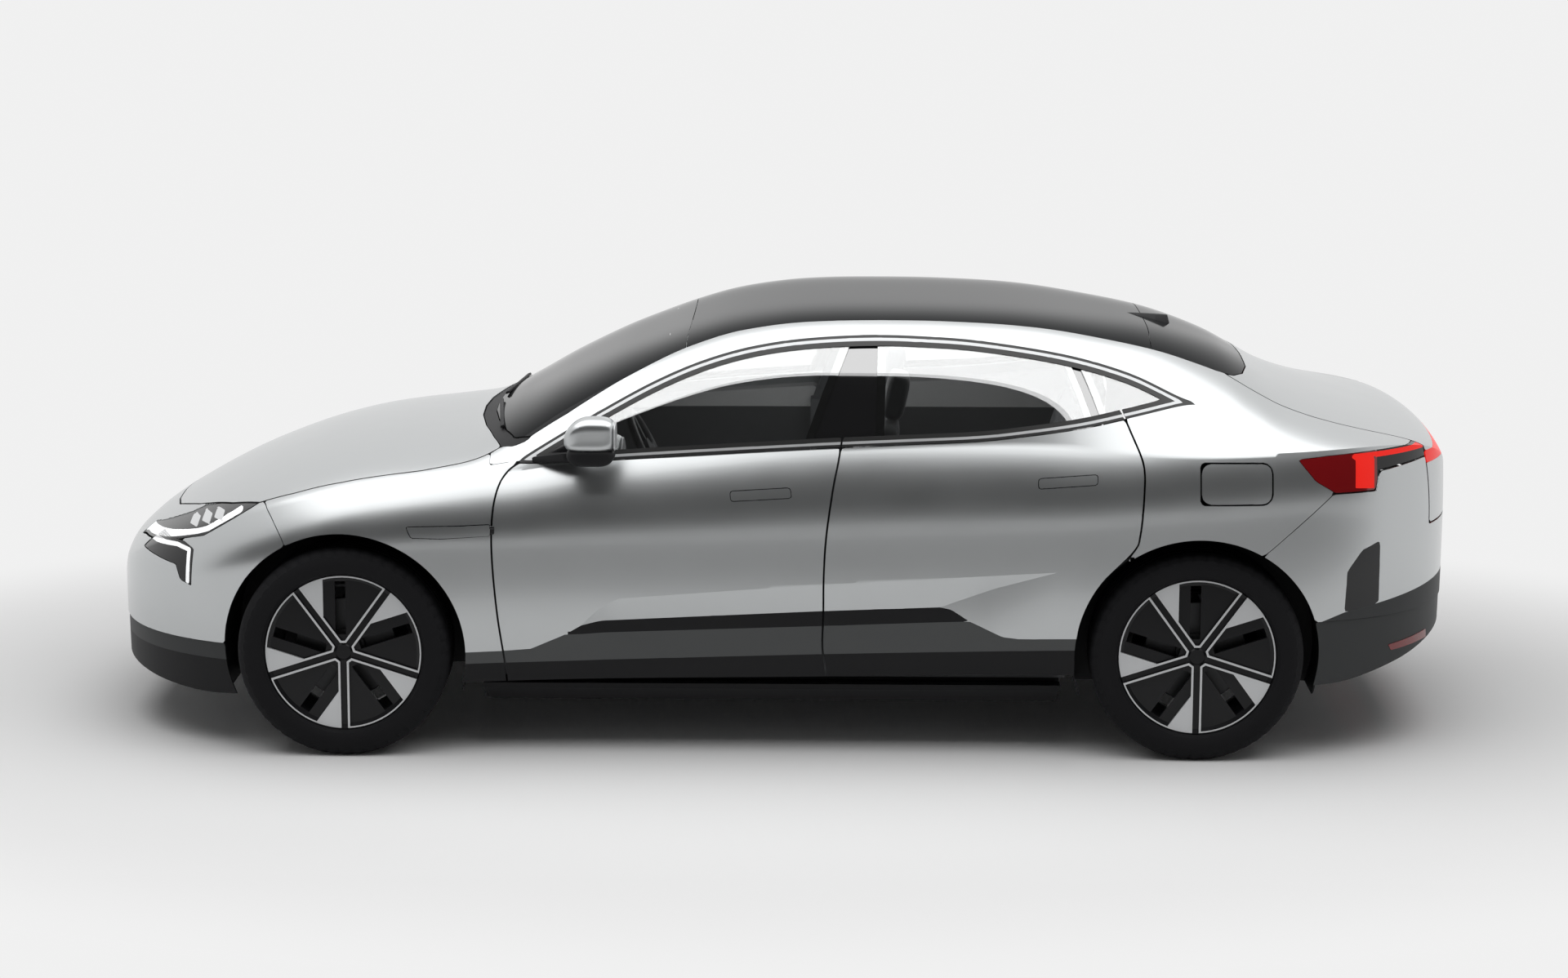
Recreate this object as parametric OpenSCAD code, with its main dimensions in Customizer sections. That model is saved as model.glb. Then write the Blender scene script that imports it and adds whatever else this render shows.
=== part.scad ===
// Five-door coupe sport utility vehicle with hinged doors, bonnet, tailgate and charging flap,
// steered front wheels and free-turning road wheels.
// Millimetres. The nose points along -X, the left side is -Y, +Z is up, the road is z = 0.

/* [Overall] */
// Width over the rear haunches, without mirrors
width = 2008; // [1940:2:2060]
// Height of the roof above the road
height = 1534; // [1500:2:1580]
// Front axle to rear axle
wheelbase = 2999; // [2960:1:3040]
// Nose to front axle
front_overhang = 895; // [870:1:920]
// Rear axle to tail
rear_overhang = 946; // [900:1:980]

/* [Wheels] */
// Outside diameter of the tyre
tyre_d = 748; // [730:2:760]
// Width of the tyre
tyre_w = 255; // [235:5:265]
// Outside diameter of the rim's flange
rim_d = 534; // [510:2:560]
// Distance between the middles of the left and right tyres
track = 1684; // [1660:2:1700]
// Free space between tyre and wheel arch
arch_gap = 56; // [48:1:64]
// Diameter of the brake disc
disc_d = 364; // [340:2:380]

/* [Panels] */
// Thickness of outer skins
skin_t = 6; // [5:0.5:8]
// Shut gap between panels
gap = 7; // [6:0.5:9]
// Joint between panels that are fixed to each other
joint_gap = 0.5; // [0.4:0.1:0.8]
// Thickness of a whole door
door_t = 112; // [104:1:130]
// Thickness of the glass
glass_t = 6; // [4:0.5:8]
// Diameter of the hinge pins
pin_d = 12; // [10:1:16]
// Radial clearance of the hinge pins
pin_clearance = 0.05; // [0.02:0.01:0.1]

/* [Cabin] */
// Top of the cabin floor above the road
floor_z = 330; // [320:1:345]
// Thickness of the floor
floor_t = 30; // [20:1:40]
// Height of the battery pack
battery_h = 128; // [110:1:135]
// Diameter of the steering wheel
steering_d = 370; // [350:2:390]

/* [Mounts] */
// Radius of the threaded towing-eye sockets
tow_r = 10; // [8:0.5:12]
// Depth of the towing-eye sockets
tow_depth = 60; // [40:5:80]

/* [Hidden] */
$fn = 48;

// The shape curves below are drawn for these sizes and follow the real ones
drawn_nose = -2420;
drawn_front_axle = -1525;
drawn_rear_axle = 1474;
drawn_tail = 2420;
drawn_height = 1534;
drawn_half_width = 1004;

length = front_overhang + wheelbase + rear_overhang;
nose_x = -length / 2;
tail_x = length / 2;
front_axle_x = nose_x + front_overhang;
rear_axle_x = front_axle_x + wheelbase;
axle_z = tyre_d / 2;
arch_r = tyre_d / 2 + arch_gap;
wheel_y = track / 2;

// Centre line of the bonnet, windscreen, roof and rear deck: [x, z]
centre_z = [[-2420, 610], [-2385, 655], [-2300, 730], [-2180, 806], [-2009, 896], [-1850, 962],
    [-1699, 1012], [-1540, 1048], [-1393, 1070], [-1200, 1088], [-1080, 1104], [-940, 1172],
    [-781, 1258], [-600, 1344], [-477, 1393], [-330, 1446], [-177, 1490], [0, 1519], [160, 1531],
    [357, 1534], [600, 1531], [889, 1515], [1194, 1474], [1347, 1446], [1469, 1412], [1592, 1366],
    [1690, 1314], [1792, 1258], [1961, 1197], [2150, 1145], [2250, 1120], [2330, 1092], [2385, 1045],
    [2410, 985], [2420, 920]];
// Top of the wing, waist line and haunch: [x, z] and [x, half width]
waist_z = [[-2420, 565], [-2385, 598], [-2300, 658], [-2180, 722], [-2009, 798], [-1850, 856],
    [-1699, 902], [-1540, 940], [-1300, 972], [-1080, 994], [-930, 1010], [-720, 1040], [-290, 1068],
    [137, 1094], [707, 1118], [1000, 1116], [1217, 1098], [1474, 1092], [1800, 1102], [2100, 1106],
    [2250, 1090], [2330, 1060], [2385, 1012], [2410, 955], [2420, 900]];
waist_y = [[-2420, 850], [-2009, 866], [-1540, 890], [-1080, 880], [-720, 872], [137, 880],
    [707, 884], [1000, 900], [1217, 926], [1474, 950], [1800, 950], [2100, 925], [2420, 890]];
// Widest line of the side: [x, z] and [x, half width]
wide_z = [[-2420, 520], [-1900, 640], [-1525, 720], [-900, 740], [0, 760], [900, 800], [1474, 850],
    [2000, 860], [2420, 760]];
wide_y = [[-2420, 940], [-2009, 965], [-1525, 985], [-1000, 972], [0, 964], [700, 972], [1474, 1004],
    [2000, 990], [2420, 960]];
// Lower edge of the side: [x, z] and [x, half width]
sill_z = [[-2420, 240], [-2200, 205], [-1990, 195], [-1080, 262], [180, 288], [1060, 300],
    [1920, 262], [2200, 318], [2420, 400]];
sill_y = [[-2420, 890], [-1525, 940], [-1000, 912], [0, 905], [900, 915], [1474, 950], [2420, 900]];
// Half width where the upper section turns into the roof, and how square that turn is
crown_y = [[-2420, 640], [-1540, 720], [-1080, 790], [-720, 770], [-330, 745], [160, 735],
    [889, 715], [1300, 680], [1600, 640], [1961, 660], [2420, 700]];
crown_square = [[-2420, 1.9], [-1540, 2.0], [-1080, 2.2], [-780, 3.6], [-330, 5.2], [160, 5.6],
    [889, 5.4], [1300, 4.2], [1700, 2.7], [2100, 2.0], [2420, 2.0]];
// How blunt nose and tail are seen from above, and where they start to round
nose_blunt = 2.7;
tail_blunt = 3.2;
nose_round_x = -1350;
tail_round_x = 1300;
end_share = 0.995;

// Number of steps over the lower side, over the upper section and along the length
side_steps = 5;
crown_steps = 7;
end_steps = 8;
middle_steps = 15;

function lerp(a, b, t) = a + (b - a) * t;
function clamp(v, low, high) = max(low, min(high, v));

// Smooth curve through [x, value] pairs in rising x
function slope(p, i) =
    i == 0 ? (p[1][1] - p[0][1]) / (p[1][0] - p[0][0])
    : i == len(p) - 1 ? (p[i][1] - p[i - 1][1]) / (p[i][0] - p[i - 1][0])
    : (p[i + 1][1] - p[i - 1][1]) / (p[i + 1][0] - p[i - 1][0]);
function span(p, x, i = 0) = i >= len(p) - 2 || x < p[i + 1][0] ? i : span(p, x, i + 1);
function hermite(a, b, sa, sb, t) =
    (2 * t * t * t - 3 * t * t + 1) * a + (t * t * t - 2 * t * t + t) * sa
    + (3 * t * t - 2 * t * t * t) * b + (t * t * t - t * t) * sb;
function along(p, x) =
    let (i = span(p, x), h = p[i + 1][0] - p[i][0], t = clamp((x - p[i][0]) / h, 0, 1))
    hermite(p[i][1], p[i + 1][1], slope(p, i) * h, slope(p, i + 1) * h, t);

// From drawn coordinates to real ones
function real_x(x) =
    x < drawn_front_axle
        ? lerp(nose_x, front_axle_x, (x - drawn_nose) / (drawn_front_axle - drawn_nose))
    : x < drawn_rear_axle
        ? lerp(front_axle_x, rear_axle_x, (x - drawn_front_axle) / (drawn_rear_axle - drawn_front_axle))
    : lerp(rear_axle_x, tail_x, (x - drawn_rear_axle) / (drawn_tail - drawn_rear_axle));
width_share = width / 2 / drawn_half_width;
height_share = height / drawn_height;
function real_y(y) = y * width_share;
function real_z(z) = z * height_share;
function real_xz(points) = [for (p = points) [real_x(p[0]), real_z(p[1])]];
function real_xy(points) = [for (p = points) [real_x(p[0]), real_y(p[1])]];

// Rounding of nose and tail seen from above, 1 in the middle of the car
function plan_share(x) =
    x < nose_round_x
        ? pow(1 - pow(end_share * (nose_round_x - x) / (nose_round_x - drawn_nose), nose_blunt),
            1 / nose_blunt)
    : x > tail_round_x
        ? pow(1 - pow(end_share * (x - tail_round_x) / (drawn_tail - tail_round_x), tail_blunt),
            1 / tail_blunt)
    : 1;

// Half width of the side at height z, from the lower edge to the waist
function side_y(x, z) =
    let (zw = along(wide_z, x), zt = along(waist_z, x), zs = along(sill_z, x), yw = along(wide_y, x))
    plan_share(x) * (z > zw
        ? yw - (yw - along(waist_y, x)) * pow((z - zw) / max(zt - zw, 1), 2.2)
        : yw - (yw - along(sill_y, x)) * pow((zw - z) / max(zw - zs, 1), 2));

// Half section at x from the lower edge to the roof's middle: [y, z]
function half_section(x) =
    let (zs = along(sill_z, x), zt = along(waist_z, x), zc = along(centre_z, x),
         yt = side_y(x, zt), yc = plan_share(x) * along(crown_y, x), e = 2 / along(crown_square, x))
    concat(
        [for (i = [0:side_steps]) let (z = lerp(zs, zt, i / side_steps)) [side_y(x, z), z]],
        [for (i = [1:crown_steps])
            let (a = 90 * i / crown_steps, t = pow(sin(a), e))
            [i == crown_steps ? 0 : lerp(yt, yc, t) * pow(cos(a), e), lerp(zt, zc, t)]]);

// The same half section moved inwards by d, its lower edge lowered by drop
function inner_section(x, d, drop) =
    let (s = half_section(x), last = len(s) - 1)
    [for (i = [drop > 0 ? -1 : 0:last])
        i == last ? [0, s[i][1] - d]
        : i < 0 ? [max(s[0][0] - d, 1), s[0][1] - drop]
        : let (a = s[max(i - 1, 0)], b = s[i + 1], n = [b[1] - a[1], a[0] - b[0]], m = d * n / norm(n))
          [max(s[i][0] - m[0], 1), s[i][1] - m[1]]];

// Stations along the car, closer together at nose and tail
drawn_stations = concat(
    [for (i = [0:end_steps - 1]) lerp(drawn_nose, nose_round_x, 1 - cos(90 * i / end_steps))],
    [for (i = [0:middle_steps - 1]) lerp(nose_round_x, tail_round_x, i / middle_steps)],
    [for (i = [0:end_steps]) lerp(drawn_tail, tail_round_x, 1 - cos(90 * (end_steps - i) / end_steps))]);

// The whole body as one solid, its surface moved inwards by d and its underside lowered by drop
module body_form(d = 0, drop = 0) {
    rings = [for (x = drawn_stations)
        let (s = inner_section(x, d, drop), n = len(s), rx = clamp(real_x(x), nose_x + d, tail_x - d))
        concat(
            [for (p = s) [rx, -real_y(p[0]), real_z(p[1])]],
            [for (i = [n - 2:-1:0]) [rx, real_y(s[i][0]), real_z(s[i][1])]])];
    n = len(rings[0]);
    m = len(rings);
    polyhedron(
        points = [for (r = rings) each r],
        faces = concat(
            [[for (i = [n - 1:-1:0]) i]],
            [[for (i = [0:n - 1]) (m - 1) * n + i]],
            [for (k = [0:m - 2], i = [0:n - 1])
                each [[k * n + i, (k + 1) * n + (i + 1) % n, (k + 1) * n + i],
                      [k * n + i, k * n + (i + 1) % n, (k + 1) * n + (i + 1) % n]]]));
}

// The body's wall between two depths below its surface
module wall(from, to) {
    difference() {
        body_form(from);
        body_form(to, 200);
    }
}

// Smooth outline through points, in n steps a span
function rounded_line(points, n = 3) =
    [for (i = [0:len(points) - 2], k = [0:n - 1])
        let (a = points[max(i - 1, 0)], b = points[i], c = points[i + 1],
             d = points[min(i + 2, len(points) - 1)], t = k / n)
        0.5 * (2 * b + (c - a) * t + (2 * a - 5 * b + 4 * c - d) * t * t + (3 * b - a - 3 * c + d) * t
            * t * t)];

module both_sides() {
    children();
    mirror([0, 1, 0]) children();
}
// Children as one skin
module skin() {
    resize([0, 0, 0]) children();
}

// Shut lines in the side view, drawn from top to bottom: [x, z]
front_door_line = [[-906, 1040], [-942, 1014], [-972, 970], [-990, 900], [-996, 800], [-992, 670],
    [-978, 500], [-956, 322], [-950, 200]];
middle_line = [[228, 1145], [214, 1060], [194, 960], [172, 800], [164, 660], [163, 520], [160, 400],
    [172, 300], [176, 200]];
rear_door_line = [[1196, 1240], [1232, 1160], [1272, 1060], [1274, 960], [1262, 820], [1240, 760],
    [1130, 640], [1070, 520], [1050, 400], [1050, 200]];
// Lower edge of the side windows: [x, z]
window_low = [[-905, 1040], [-720, 1046], [-290, 1074], [137, 1100], [420, 1114], [700, 1128], [880, 1148],
    [1060, 1174], [1217, 1206], [1400, 1243], [1482, 1246]];
// Upper edge of the side windows: [x, z]
window_high = [[-905, 1048], [-866, 1074], [-734, 1152], [-589, 1234], [-443, 1310], [-299, 1372], [-154,
    1418],
    [-10, 1447], [134, 1463], [307, 1471], [480, 1469], [711, 1454], [999, 1411], [1231, 1348],
    [1405, 1272], [1482, 1246]];
function reverse(l) = [for (i = [len(l) - 1:-1:0]) l[i]];
function mirrored(l) = [for (p = l) [p[0], -p[1]]];

// Side panels lie outside this distance from the middle plane
side_from = 460;

// Plane shapes of the side view, real coordinates
module below_windows() {
    polygon(real_xz(concat(window_low, [[1482, 1246], [1482, 50], [-2400, 50], [-2400, 1040]])));
}
module between(front, rear) {
    polygon(real_xz(concat([[front[0][0], 1700]], rounded_line(front), [[front[len(front) - 1][0], 50]],
        [[rear[len(rear) - 1][0], 50]], reverse(rounded_line(rear)), [[rear[0][0], 1700]])));
}
module arch_2d(x, r = arch_r) {
    translate([x, axle_z]) circle(r = r, $fn = 72);
}
module front_door_2d() {
    intersection() {
        below_windows();
        between(front_door_line, middle_line);
    }
}
module rear_door_2d() {
    difference() {
        intersection() {
            below_windows();
            between(middle_line, rear_door_line);
        }
        arch_2d(rear_axle_x);
    }
}
module windows_2d() {
    polygon(real_xz(concat(window_low, reverse(window_high))));
}
module left_side() {
    rotate([90, 0, 0]) translate([0, 0, side_from]) linear_extrude(height = width) children();
}
module across() {
    rotate([90, 0, 0]) linear_extrude(height = 2 * width, center = true) children();
}
module from_above(points, grow) {
    linear_extrude(height = 2 * height) offset(delta = grow) polygon(real_xy(points));
}
function both_edges(l) = concat(l, reverse(mirrored(l)));

// Plan outlines, half widths from front to rear: [x, half width]
bonnet_edge = [[-2296, 0], [-2288, 250], [-2255, 450], [-2200, 590], [-2110, 700], [-1990, 756], [-1835,
    800],
    [-1540, 838], [-1250, 828], [-1040, 792], [-975, 772], [-1010, 650], [-1060, 420], [-1092, 200],
        [-1100, 0]];
screen_edge = [[-1052, 0], [-1044, 200], [-1014, 420], [-968, 640], [-930, 748], [-870, 786], [-740, 752],
    [-564, 692], [-400, 640], [-330, 622], [-325, 300], [-324, 0]];
roof_glass_edge = [[-324, 0], [-325, 300], [-330, 622], [-156, 598], [0, 591], [351, 586], [858, 585],
    [1003, 581], [1322, 570], [1330, 300], [1332, 0]];
rear_panel_edge = [[1332, 0], [1330, 300], [1322, 570], [1450, 562], [1560, 550], [1620, 520], [1660, 440],
    [1686, 300], [1694, 0]];
tailgate_edge = [[1694, 0], [1686, 300], [1660, 440], [1620, 520], [1590, 545], [1700, 572], [1900, 612],
    [2100, 640], [2300, 652], [2460, 656], [2460, 0]];
cowl_edge = [[-1100, 0], [-1092, 200], [-1060, 420], [-1010, 650], [-975, 772], [-930, 800], [-880, 800],
    [-870, 786], [-930, 748], [-968, 640], [-1014, 420], [-1044, 200], [-1052, 0]];

// Lower limit of the tailgate on the tail, and the other level lines of nose and tail
tailgate_low = 800;
front_valance_high = 388;
valance_in = 4;
rear_valance_high = 500;

// Lamps and bumper joints in the side view: [x, z]
upper_lamp = [[-2330, 792], [-2215, 838], [-2090, 850], [-1985, 896], [-1815, 905], [-1990, 800], [-2120,
    762],
    [-2330, 745]];
lower_lamp = [[-2330, 735], [-2110, 728], [-2070, 712], [-2078, 585], [-2120, 600], [-2140, 650], [-2330,
    672]];
front_bumper_line = [[-2500, 772], [-2330, 772], [-2160, 790], [-1990, 832], [-1830, 878], [-1790, 860],
    [-1735, 780], [-1700, 700]];
tail_lamp = [[1800, 1068], [1900, 1082], [2140, 1092], [2460, 1085], [2460, 985], [2230, 975], [2075, 962],
    [1936, 958]];
rear_bumper_line = [[1660, 720], [1720, 768], [1925, 950], [2080, 952], [2240, 965], [2500, 965]];
flap_corners = [[1470, 928], [1718, 1068]];

module upper_lamp_2d() { polygon(real_xz(upper_lamp)); }
module lower_lamp_2d() { polygon(real_xz(lower_lamp)); }
module tail_lamp_2d() { polygon(real_xz(tail_lamp)); }
module flap_2d() {
    a = real_xz(flap_corners);
    offset(r = 34) offset(delta = -34) translate(a[0]) square(a[1] - a[0]);
}
module front_bumper_2d() {
    difference() {
        polygon(real_xz(concat(rounded_line(front_bumper_line), [[-1700, 50], [-2500, 50]])));
        arch_2d(front_axle_x);
    }
}
module rear_bumper_2d() {
    difference() {
        polygon(real_xz(concat(rear_bumper_line, [[2500, 50], [1660, 50]])));
        arch_2d(rear_axle_x);
    }
}
module below(z, from, to) {
    translate([from, -50]) square([to - from, real_z(z) + 50]);
}
module tailgate_zone(grow) {
    intersection() {
        from_above(both_edges(tailgate_edge), grow);
        translate([0, -width, real_z(tailgate_low) - grow]) cube([length, 2 * width, 2 * height]);
    }
}

// Doors
door_inset_front = 82;
door_inset_rear = 72;
door_inset_low = 50;
door_inner_y = real_y(968) - door_t - 50;
hinge_back = 50;
hinge_in = 45;
hinge_r = pin_d / 2;
front_hinge_x = real_x(-996) + gap / 2 + hinge_back;
front_hinge_y = real_y(side_y(-996, 740)) - hinge_in;
rear_hinge_x = real_x(160) + gap / 2 + hinge_back;
rear_hinge_y = real_y(side_y(160, 740)) - hinge_in;
hinge_heights = [real_z(480), real_z(760)];
hinge_leaf_h = 24;

module door_box_2d(front, rear) {
    intersection() {
        offset(delta = -door_inset_low) children();
        translate([door_inset_front, 0]) between(front, front_of(front));
        translate([-door_inset_rear, 0]) between(rear_of(rear), rear);
    }
}
function front_of(l) = [for (p = l) [2400, p[1]]];
function rear_of(l) = [for (p = l) [-2400, p[1]]];

module front_door_box_2d(grow = 0) {
    offset(delta = grow) difference() {
        door_box_2d(front_door_line, middle_line) front_door_2d();
    }
}
module rear_door_box_2d(grow = 0) {
    offset(delta = grow) difference() {
        door_box_2d(middle_line, rear_door_line) rear_door_2d();
        arch_2d(rear_axle_x, arch_r + 55);
    }
}
module door_zone() {
    translate([-length, -width, 0]) cube([2 * length, width - door_inner_y, 2 * height]);
}
module front_door_form() {
    intersection() {
        wall(0, skin_t);
        left_side() offset(delta = -gap / 2) front_door_2d();
    }
    intersection() {
        body_form(skin_t / 2);
        left_side() front_door_box_2d();
        door_zone();
    }
}
module rear_door_form() {
    intersection() {
        wall(0, skin_t);
        left_side() offset(delta = -gap / 2) rear_door_2d();
    }
    intersection() {
        body_form(skin_t / 2);
        left_side() rear_door_box_2d();
        door_zone();
    }
}
// Hinge leaf of a door: reaches from the pin back into the door's box
module door_leaves(x, y) {
    for (z = hinge_heights) translate([x, -y, z]) difference() {
        union() {
            cylinder(r = hinge_r + 6, h = hinge_leaf_h, center = true);
            translate([0, -hinge_r, -hinge_leaf_h / 2]) cube([door_inset_front - hinge_back + 24,
                2 * hinge_r, hinge_leaf_h]);
        }
        cylinder(r = hinge_r + pin_clearance, h = 2 * hinge_leaf_h, center = true);
    }
}

module front_door_left() {
    color("silver") {
        skin() front_door_form();
        door_leaves(front_hinge_x, front_hinge_y);
    }
}
module front_door_right() { mirror([0, 1, 0]) front_door_left(); }
module rear_door_left() {
    color("silver") {
        skin() rear_door_form();
        door_leaves(rear_hinge_x, rear_hinge_y);
    }
}
module rear_door_right() { mirror([0, 1, 0]) rear_door_left(); }

// Window panes: front edge and rear edge lines, drawn from top to bottom
front_pane_rear = [[262, 1500], [258, 1460], [185, 1280], [118, 1100], [100, 1050]];
rear_pane_front = [[352, 1500], [350, 1460], [346, 1280], [342, 1100], [342, 1050]];
rear_pane_rear = [[1000, 1460], [1011, 1411], [1060, 1300], [1104, 1186], [1120, 1140]];
quarter_front = [[1030, 1460], [1041, 1411], [1090, 1300], [1134, 1186], [1150, 1140]];
pane_edge = 12;

module front_glass_left() {
    color([0.15, 0.17, 0.19]) skin() intersection() {
        wall(3, 3 + glass_t);
        left_side() intersection() {
            offset(delta = -pane_edge) union() { windows_2d(); translate([0, -pane_edge - gap])
                windows_2d(); }
            between(rear_of(front_pane_rear), front_pane_rear);
            translate([real_x(-840), 0]) square([length, 2 * height]);
            difference() { square(2 * length, center = true); offset(delta = joint_gap - gap / 2)
                below_windows(); }
        }
    }
}
module front_glass_right() { mirror([0, 1, 0]) front_glass_left(); }
module rear_glass_left() {
    color([0.15, 0.17, 0.19]) skin() intersection() {
        wall(3, 3 + glass_t);
        left_side() intersection() {
            offset(delta = -pane_edge) union() { windows_2d(); translate([0, -pane_edge - gap])
                windows_2d(); }
            between(rear_pane_front, rear_pane_rear);
            difference() { square(2 * length, center = true); offset(delta = joint_gap - gap / 2)
                below_windows(); }
        }
    }
}
module rear_glass_right() { mirror([0, 1, 0]) rear_glass_left(); }
module quarter_glasses() {
    color([0.15, 0.17, 0.19]) skin() both_sides() intersection() {
        wall(3, 3 + glass_t);
        left_side() intersection() {
            offset(delta = -joint_gap / 2) windows_2d();
            between(quarter_front, front_of(quarter_front));
        }
    }
}

// Mirror on its foot at the front corner of the window
mirror_x = real_x(-640);
mirror_z = real_z(1100);
mirror_y = real_y(985);
module mirror_left() {
    color("silver") skin() difference() {
        union() {
            mirror_head();
            hull() {
                translate([mirror_x - 40, -mirror_y + 90, mirror_z - 50]) cube([80, 40, 26], center = true);
                translate([mirror_x - 50, -real_y(side_y(-690, 1000)) + 6, real_z(1006)])
                    cube([120, 20, 16], center = true);
            }
        }
        body_form(-1.6 * joint_gap);
    }
}
module mirror_head() {
    hull() {
        translate([mirror_x - 60, -mirror_y + 95, mirror_z]) scale([1, 0.6, 1]) sphere(r = 55, $fn = 24);
        translate([mirror_x - 34, -mirror_y - 10, mirror_z + 4]) scale([1.3, 1, 1])
            sphere(r = 62, $fn = 24);
        translate([mirror_x + 56, -mirror_y - 10, mirror_z + 4]) scale([0.3, 1, 1])
            sphere(r = 66, $fn = 24);
        translate([mirror_x + 56, -mirror_y + 95, mirror_z + 4]) scale([0.3, 0.6, 1])
            sphere(r = 62, $fn = 24);
    }
}
module mirror_right() { mirror([0, 1, 0]) mirror_left(); }

// Body shell
module body_sides() {
    color("silver") skin() both_sides() difference() {
        intersection() {
            wall(0, skin_t);
            left_side() difference() {
                polygon(real_xz([[-930, 1044], [-1010, 1030], [-1010, 1700], [2420, 1700], [2420, 500],
                    [1100, 500],
                    [1100, 1100], [-800, 1044]]));
                offset(delta = joint_gap / 2) windows_2d();
                offset(delta = gap / 2) front_door_2d();
                offset(delta = gap / 2) rear_door_2d();
                offset(delta = gap / 2) flap_2d();
                offset(delta = joint_gap / 2) tail_lamp_2d();
                offset(delta = joint_gap / 2) rear_bumper_2d();
                arch_2d(rear_axle_x);
            }
        }
        from_above(both_edges(screen_edge), joint_gap / 2);
        from_above(both_edges(roof_glass_edge), joint_gap / 2);
        from_above(both_edges(rear_panel_edge), joint_gap / 2);
        from_above(both_edges(cowl_edge), joint_gap / 2);
        from_above(both_edges(bonnet_edge), gap / 2);
        tailgate_zone(gap / 2);
    }
}
module front_fenders() {
    color("silver") skin() both_sides() difference() {
        intersection() {
            wall(0, skin_t);
            left_side() difference() {
                polygon(real_xz(concat([[-2000, 1200], [-2000, 600], [-1500, 200]], [[-940, 200]],
                    reverse(rounded_line(front_door_line)), [[-930, 1050], [-930, 1200]])));
                offset(delta = gap / 2) front_door_2d();
                offset(delta = joint_gap / 2) front_bumper_2d();
                offset(delta = joint_gap / 2) upper_lamp_2d();
                arch_2d(front_axle_x);
                translate([-length, -50]) square([length + front_axle_x, 500]);
                offset(delta = joint_gap / 2)
                    polygon(real_xz([[-930, 1044], [-1010, 1030], [-1010, 1700], [-700, 1700], [-700,
                        1044]]));
            }
        }
        from_above(both_edges(bonnet_edge), gap / 2);
        from_above(both_edges(cowl_edge), joint_gap / 2);
        from_above(both_edges(screen_edge), joint_gap / 2);
    }
}
module front_bumper() {
    color("silver") skin() difference() {
        intersection() {
            wall(0, skin_t);
            across() difference() {
                offset(delta = -joint_gap / 2) front_bumper_2d();
                offset(delta = joint_gap / 2) upper_lamp_2d();
                below(front_valance_high, nose_x - 50, 0);
            }
        }
        difference() {
            across() offset(delta = joint_gap) lower_lamp_2d();
            cube([4 * length, 1040, 4 * height], center = true);
        }
        from_above(both_edges(bonnet_edge), gap / 2);
    }
}
module front_valance() {
    color([0.12, 0.12, 0.13]) skin() difference() {
        intersection() {
            wall(valance_in, valance_in + skin_t);
            across() intersection() {
                front_bumper_2d();
                below(front_valance_high - joint_gap, nose_x - 50, 0);
            }
        }
        translate([nose_x - 50, tow_y, tow_z]) rotate([0, 90, 0]) cylinder(r = tow_r + 12, h = 400);
    }
}
module headlamps() {
    color([0.75, 0.8, 0.85]) both_sides() {
        skin() difference() {
            intersection() {
                wall(2, 32);
                left_side() offset(delta = -joint_gap / 2) upper_lamp_2d();
                translate([-2 * length, -2 * width, 0]) cube([4 * length, 2 * width - 560, 2 * height]);
            }
            from_above(both_edges(bonnet_edge), gap / 2);
        }
        skin() difference() {
            intersection() {
                wall(2, 32);
                left_side() lower_lamp_2d();
                translate([-2 * length, -2 * width, 0]) cube([4 * length, 2 * width - 530, 2 * height]);
            }
            from_above(both_edges(bonnet_edge), gap / 2);
        }
    }
}
module cowl() {
    color([0.06, 0.06, 0.07]) skin() intersection() {
        wall(4, 12);
        from_above(both_edges(cowl_edge), -joint_gap / 2);
        translate([-length, -width, real_z(900)]) cube([2 * length, 2 * width, height]);
    }
}
module windscreen() {
    color([0.12, 0.13, 0.15]) skin() intersection() {
        wall(1, 1 + glass_t);
        from_above(both_edges(screen_edge), -joint_gap / 2);
        translate([-length, -width, real_z(1040)]) cube([2 * length, 2 * width, height]);
    }
}
module roof_glass() {
    color([0.1, 0.11, 0.12]) skin() intersection() {
        wall(1, 1 + glass_t);
        from_above(both_edges(roof_glass_edge), -joint_gap / 2);
        translate([-length, -width, real_z(1240)]) cube([2 * length, 2 * width, height]);
    }
}
module rear_roof_panel() {
    color([0.05, 0.05, 0.055]) skin() {
        intersection() {
            wall(1, 1 + skin_t);
            from_above(both_edges(rear_panel_edge), -joint_gap / 2);
            translate([-length, -width, real_z(1200)]) cube([2 * length, 2 * width, height]);
        }
        difference() {
            hull() {
                translate([real_x(1290) + 60, 0, real_z(along(centre_z, 1340)) - 4])
                    scale([2.4, 1, 0.5]) sphere(r = 32, $fn = 24);
                translate([real_x(1470), 0, real_z(along(centre_z, 1470)) + 6])
                    scale([0.6, 1, 0.8]) sphere(r = 38, $fn = 24);
            }
            intersection() {
                body_form(-joint_gap);
                translate([real_x(1338) - length, -width, 0]) cube([length, 2 * width, 2 * height]);
            }
        }
    }
}
module tail_lamps() {
    color([0.6, 0.05, 0.05]) skin() both_sides() difference() {
        intersection() {
            wall(1, 31);
            left_side() offset(delta = -joint_gap / 2) tail_lamp_2d();
        }
        tailgate_zone(gap / 2);
    }
}
module rear_bumper() {
    color("silver") skin() difference() {
        intersection() {
            wall(0, skin_t);
            across() difference() {
                offset(delta = -joint_gap / 2) rear_bumper_2d();
                offset(delta = joint_gap / 2) tail_lamp_2d();
                below(rear_valance_high, 0, tail_x + 50);
            }
        }
        tailgate_zone(gap / 2);
    }
}
module rear_valance() {
    color([0.12, 0.12, 0.13]) skin() difference() {
        intersection() {
            wall(valance_in, valance_in + skin_t);
            across() intersection() {
                rear_bumper_2d();
                below(rear_valance_high - joint_gap, 0, tail_x + 50);
            }
        }
        translate([tail_x - 350, tow_y, tow_z]) rotate([0, 90, 0]) cylinder(r = tow_r + 12, h = 400);
    }
}

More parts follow.
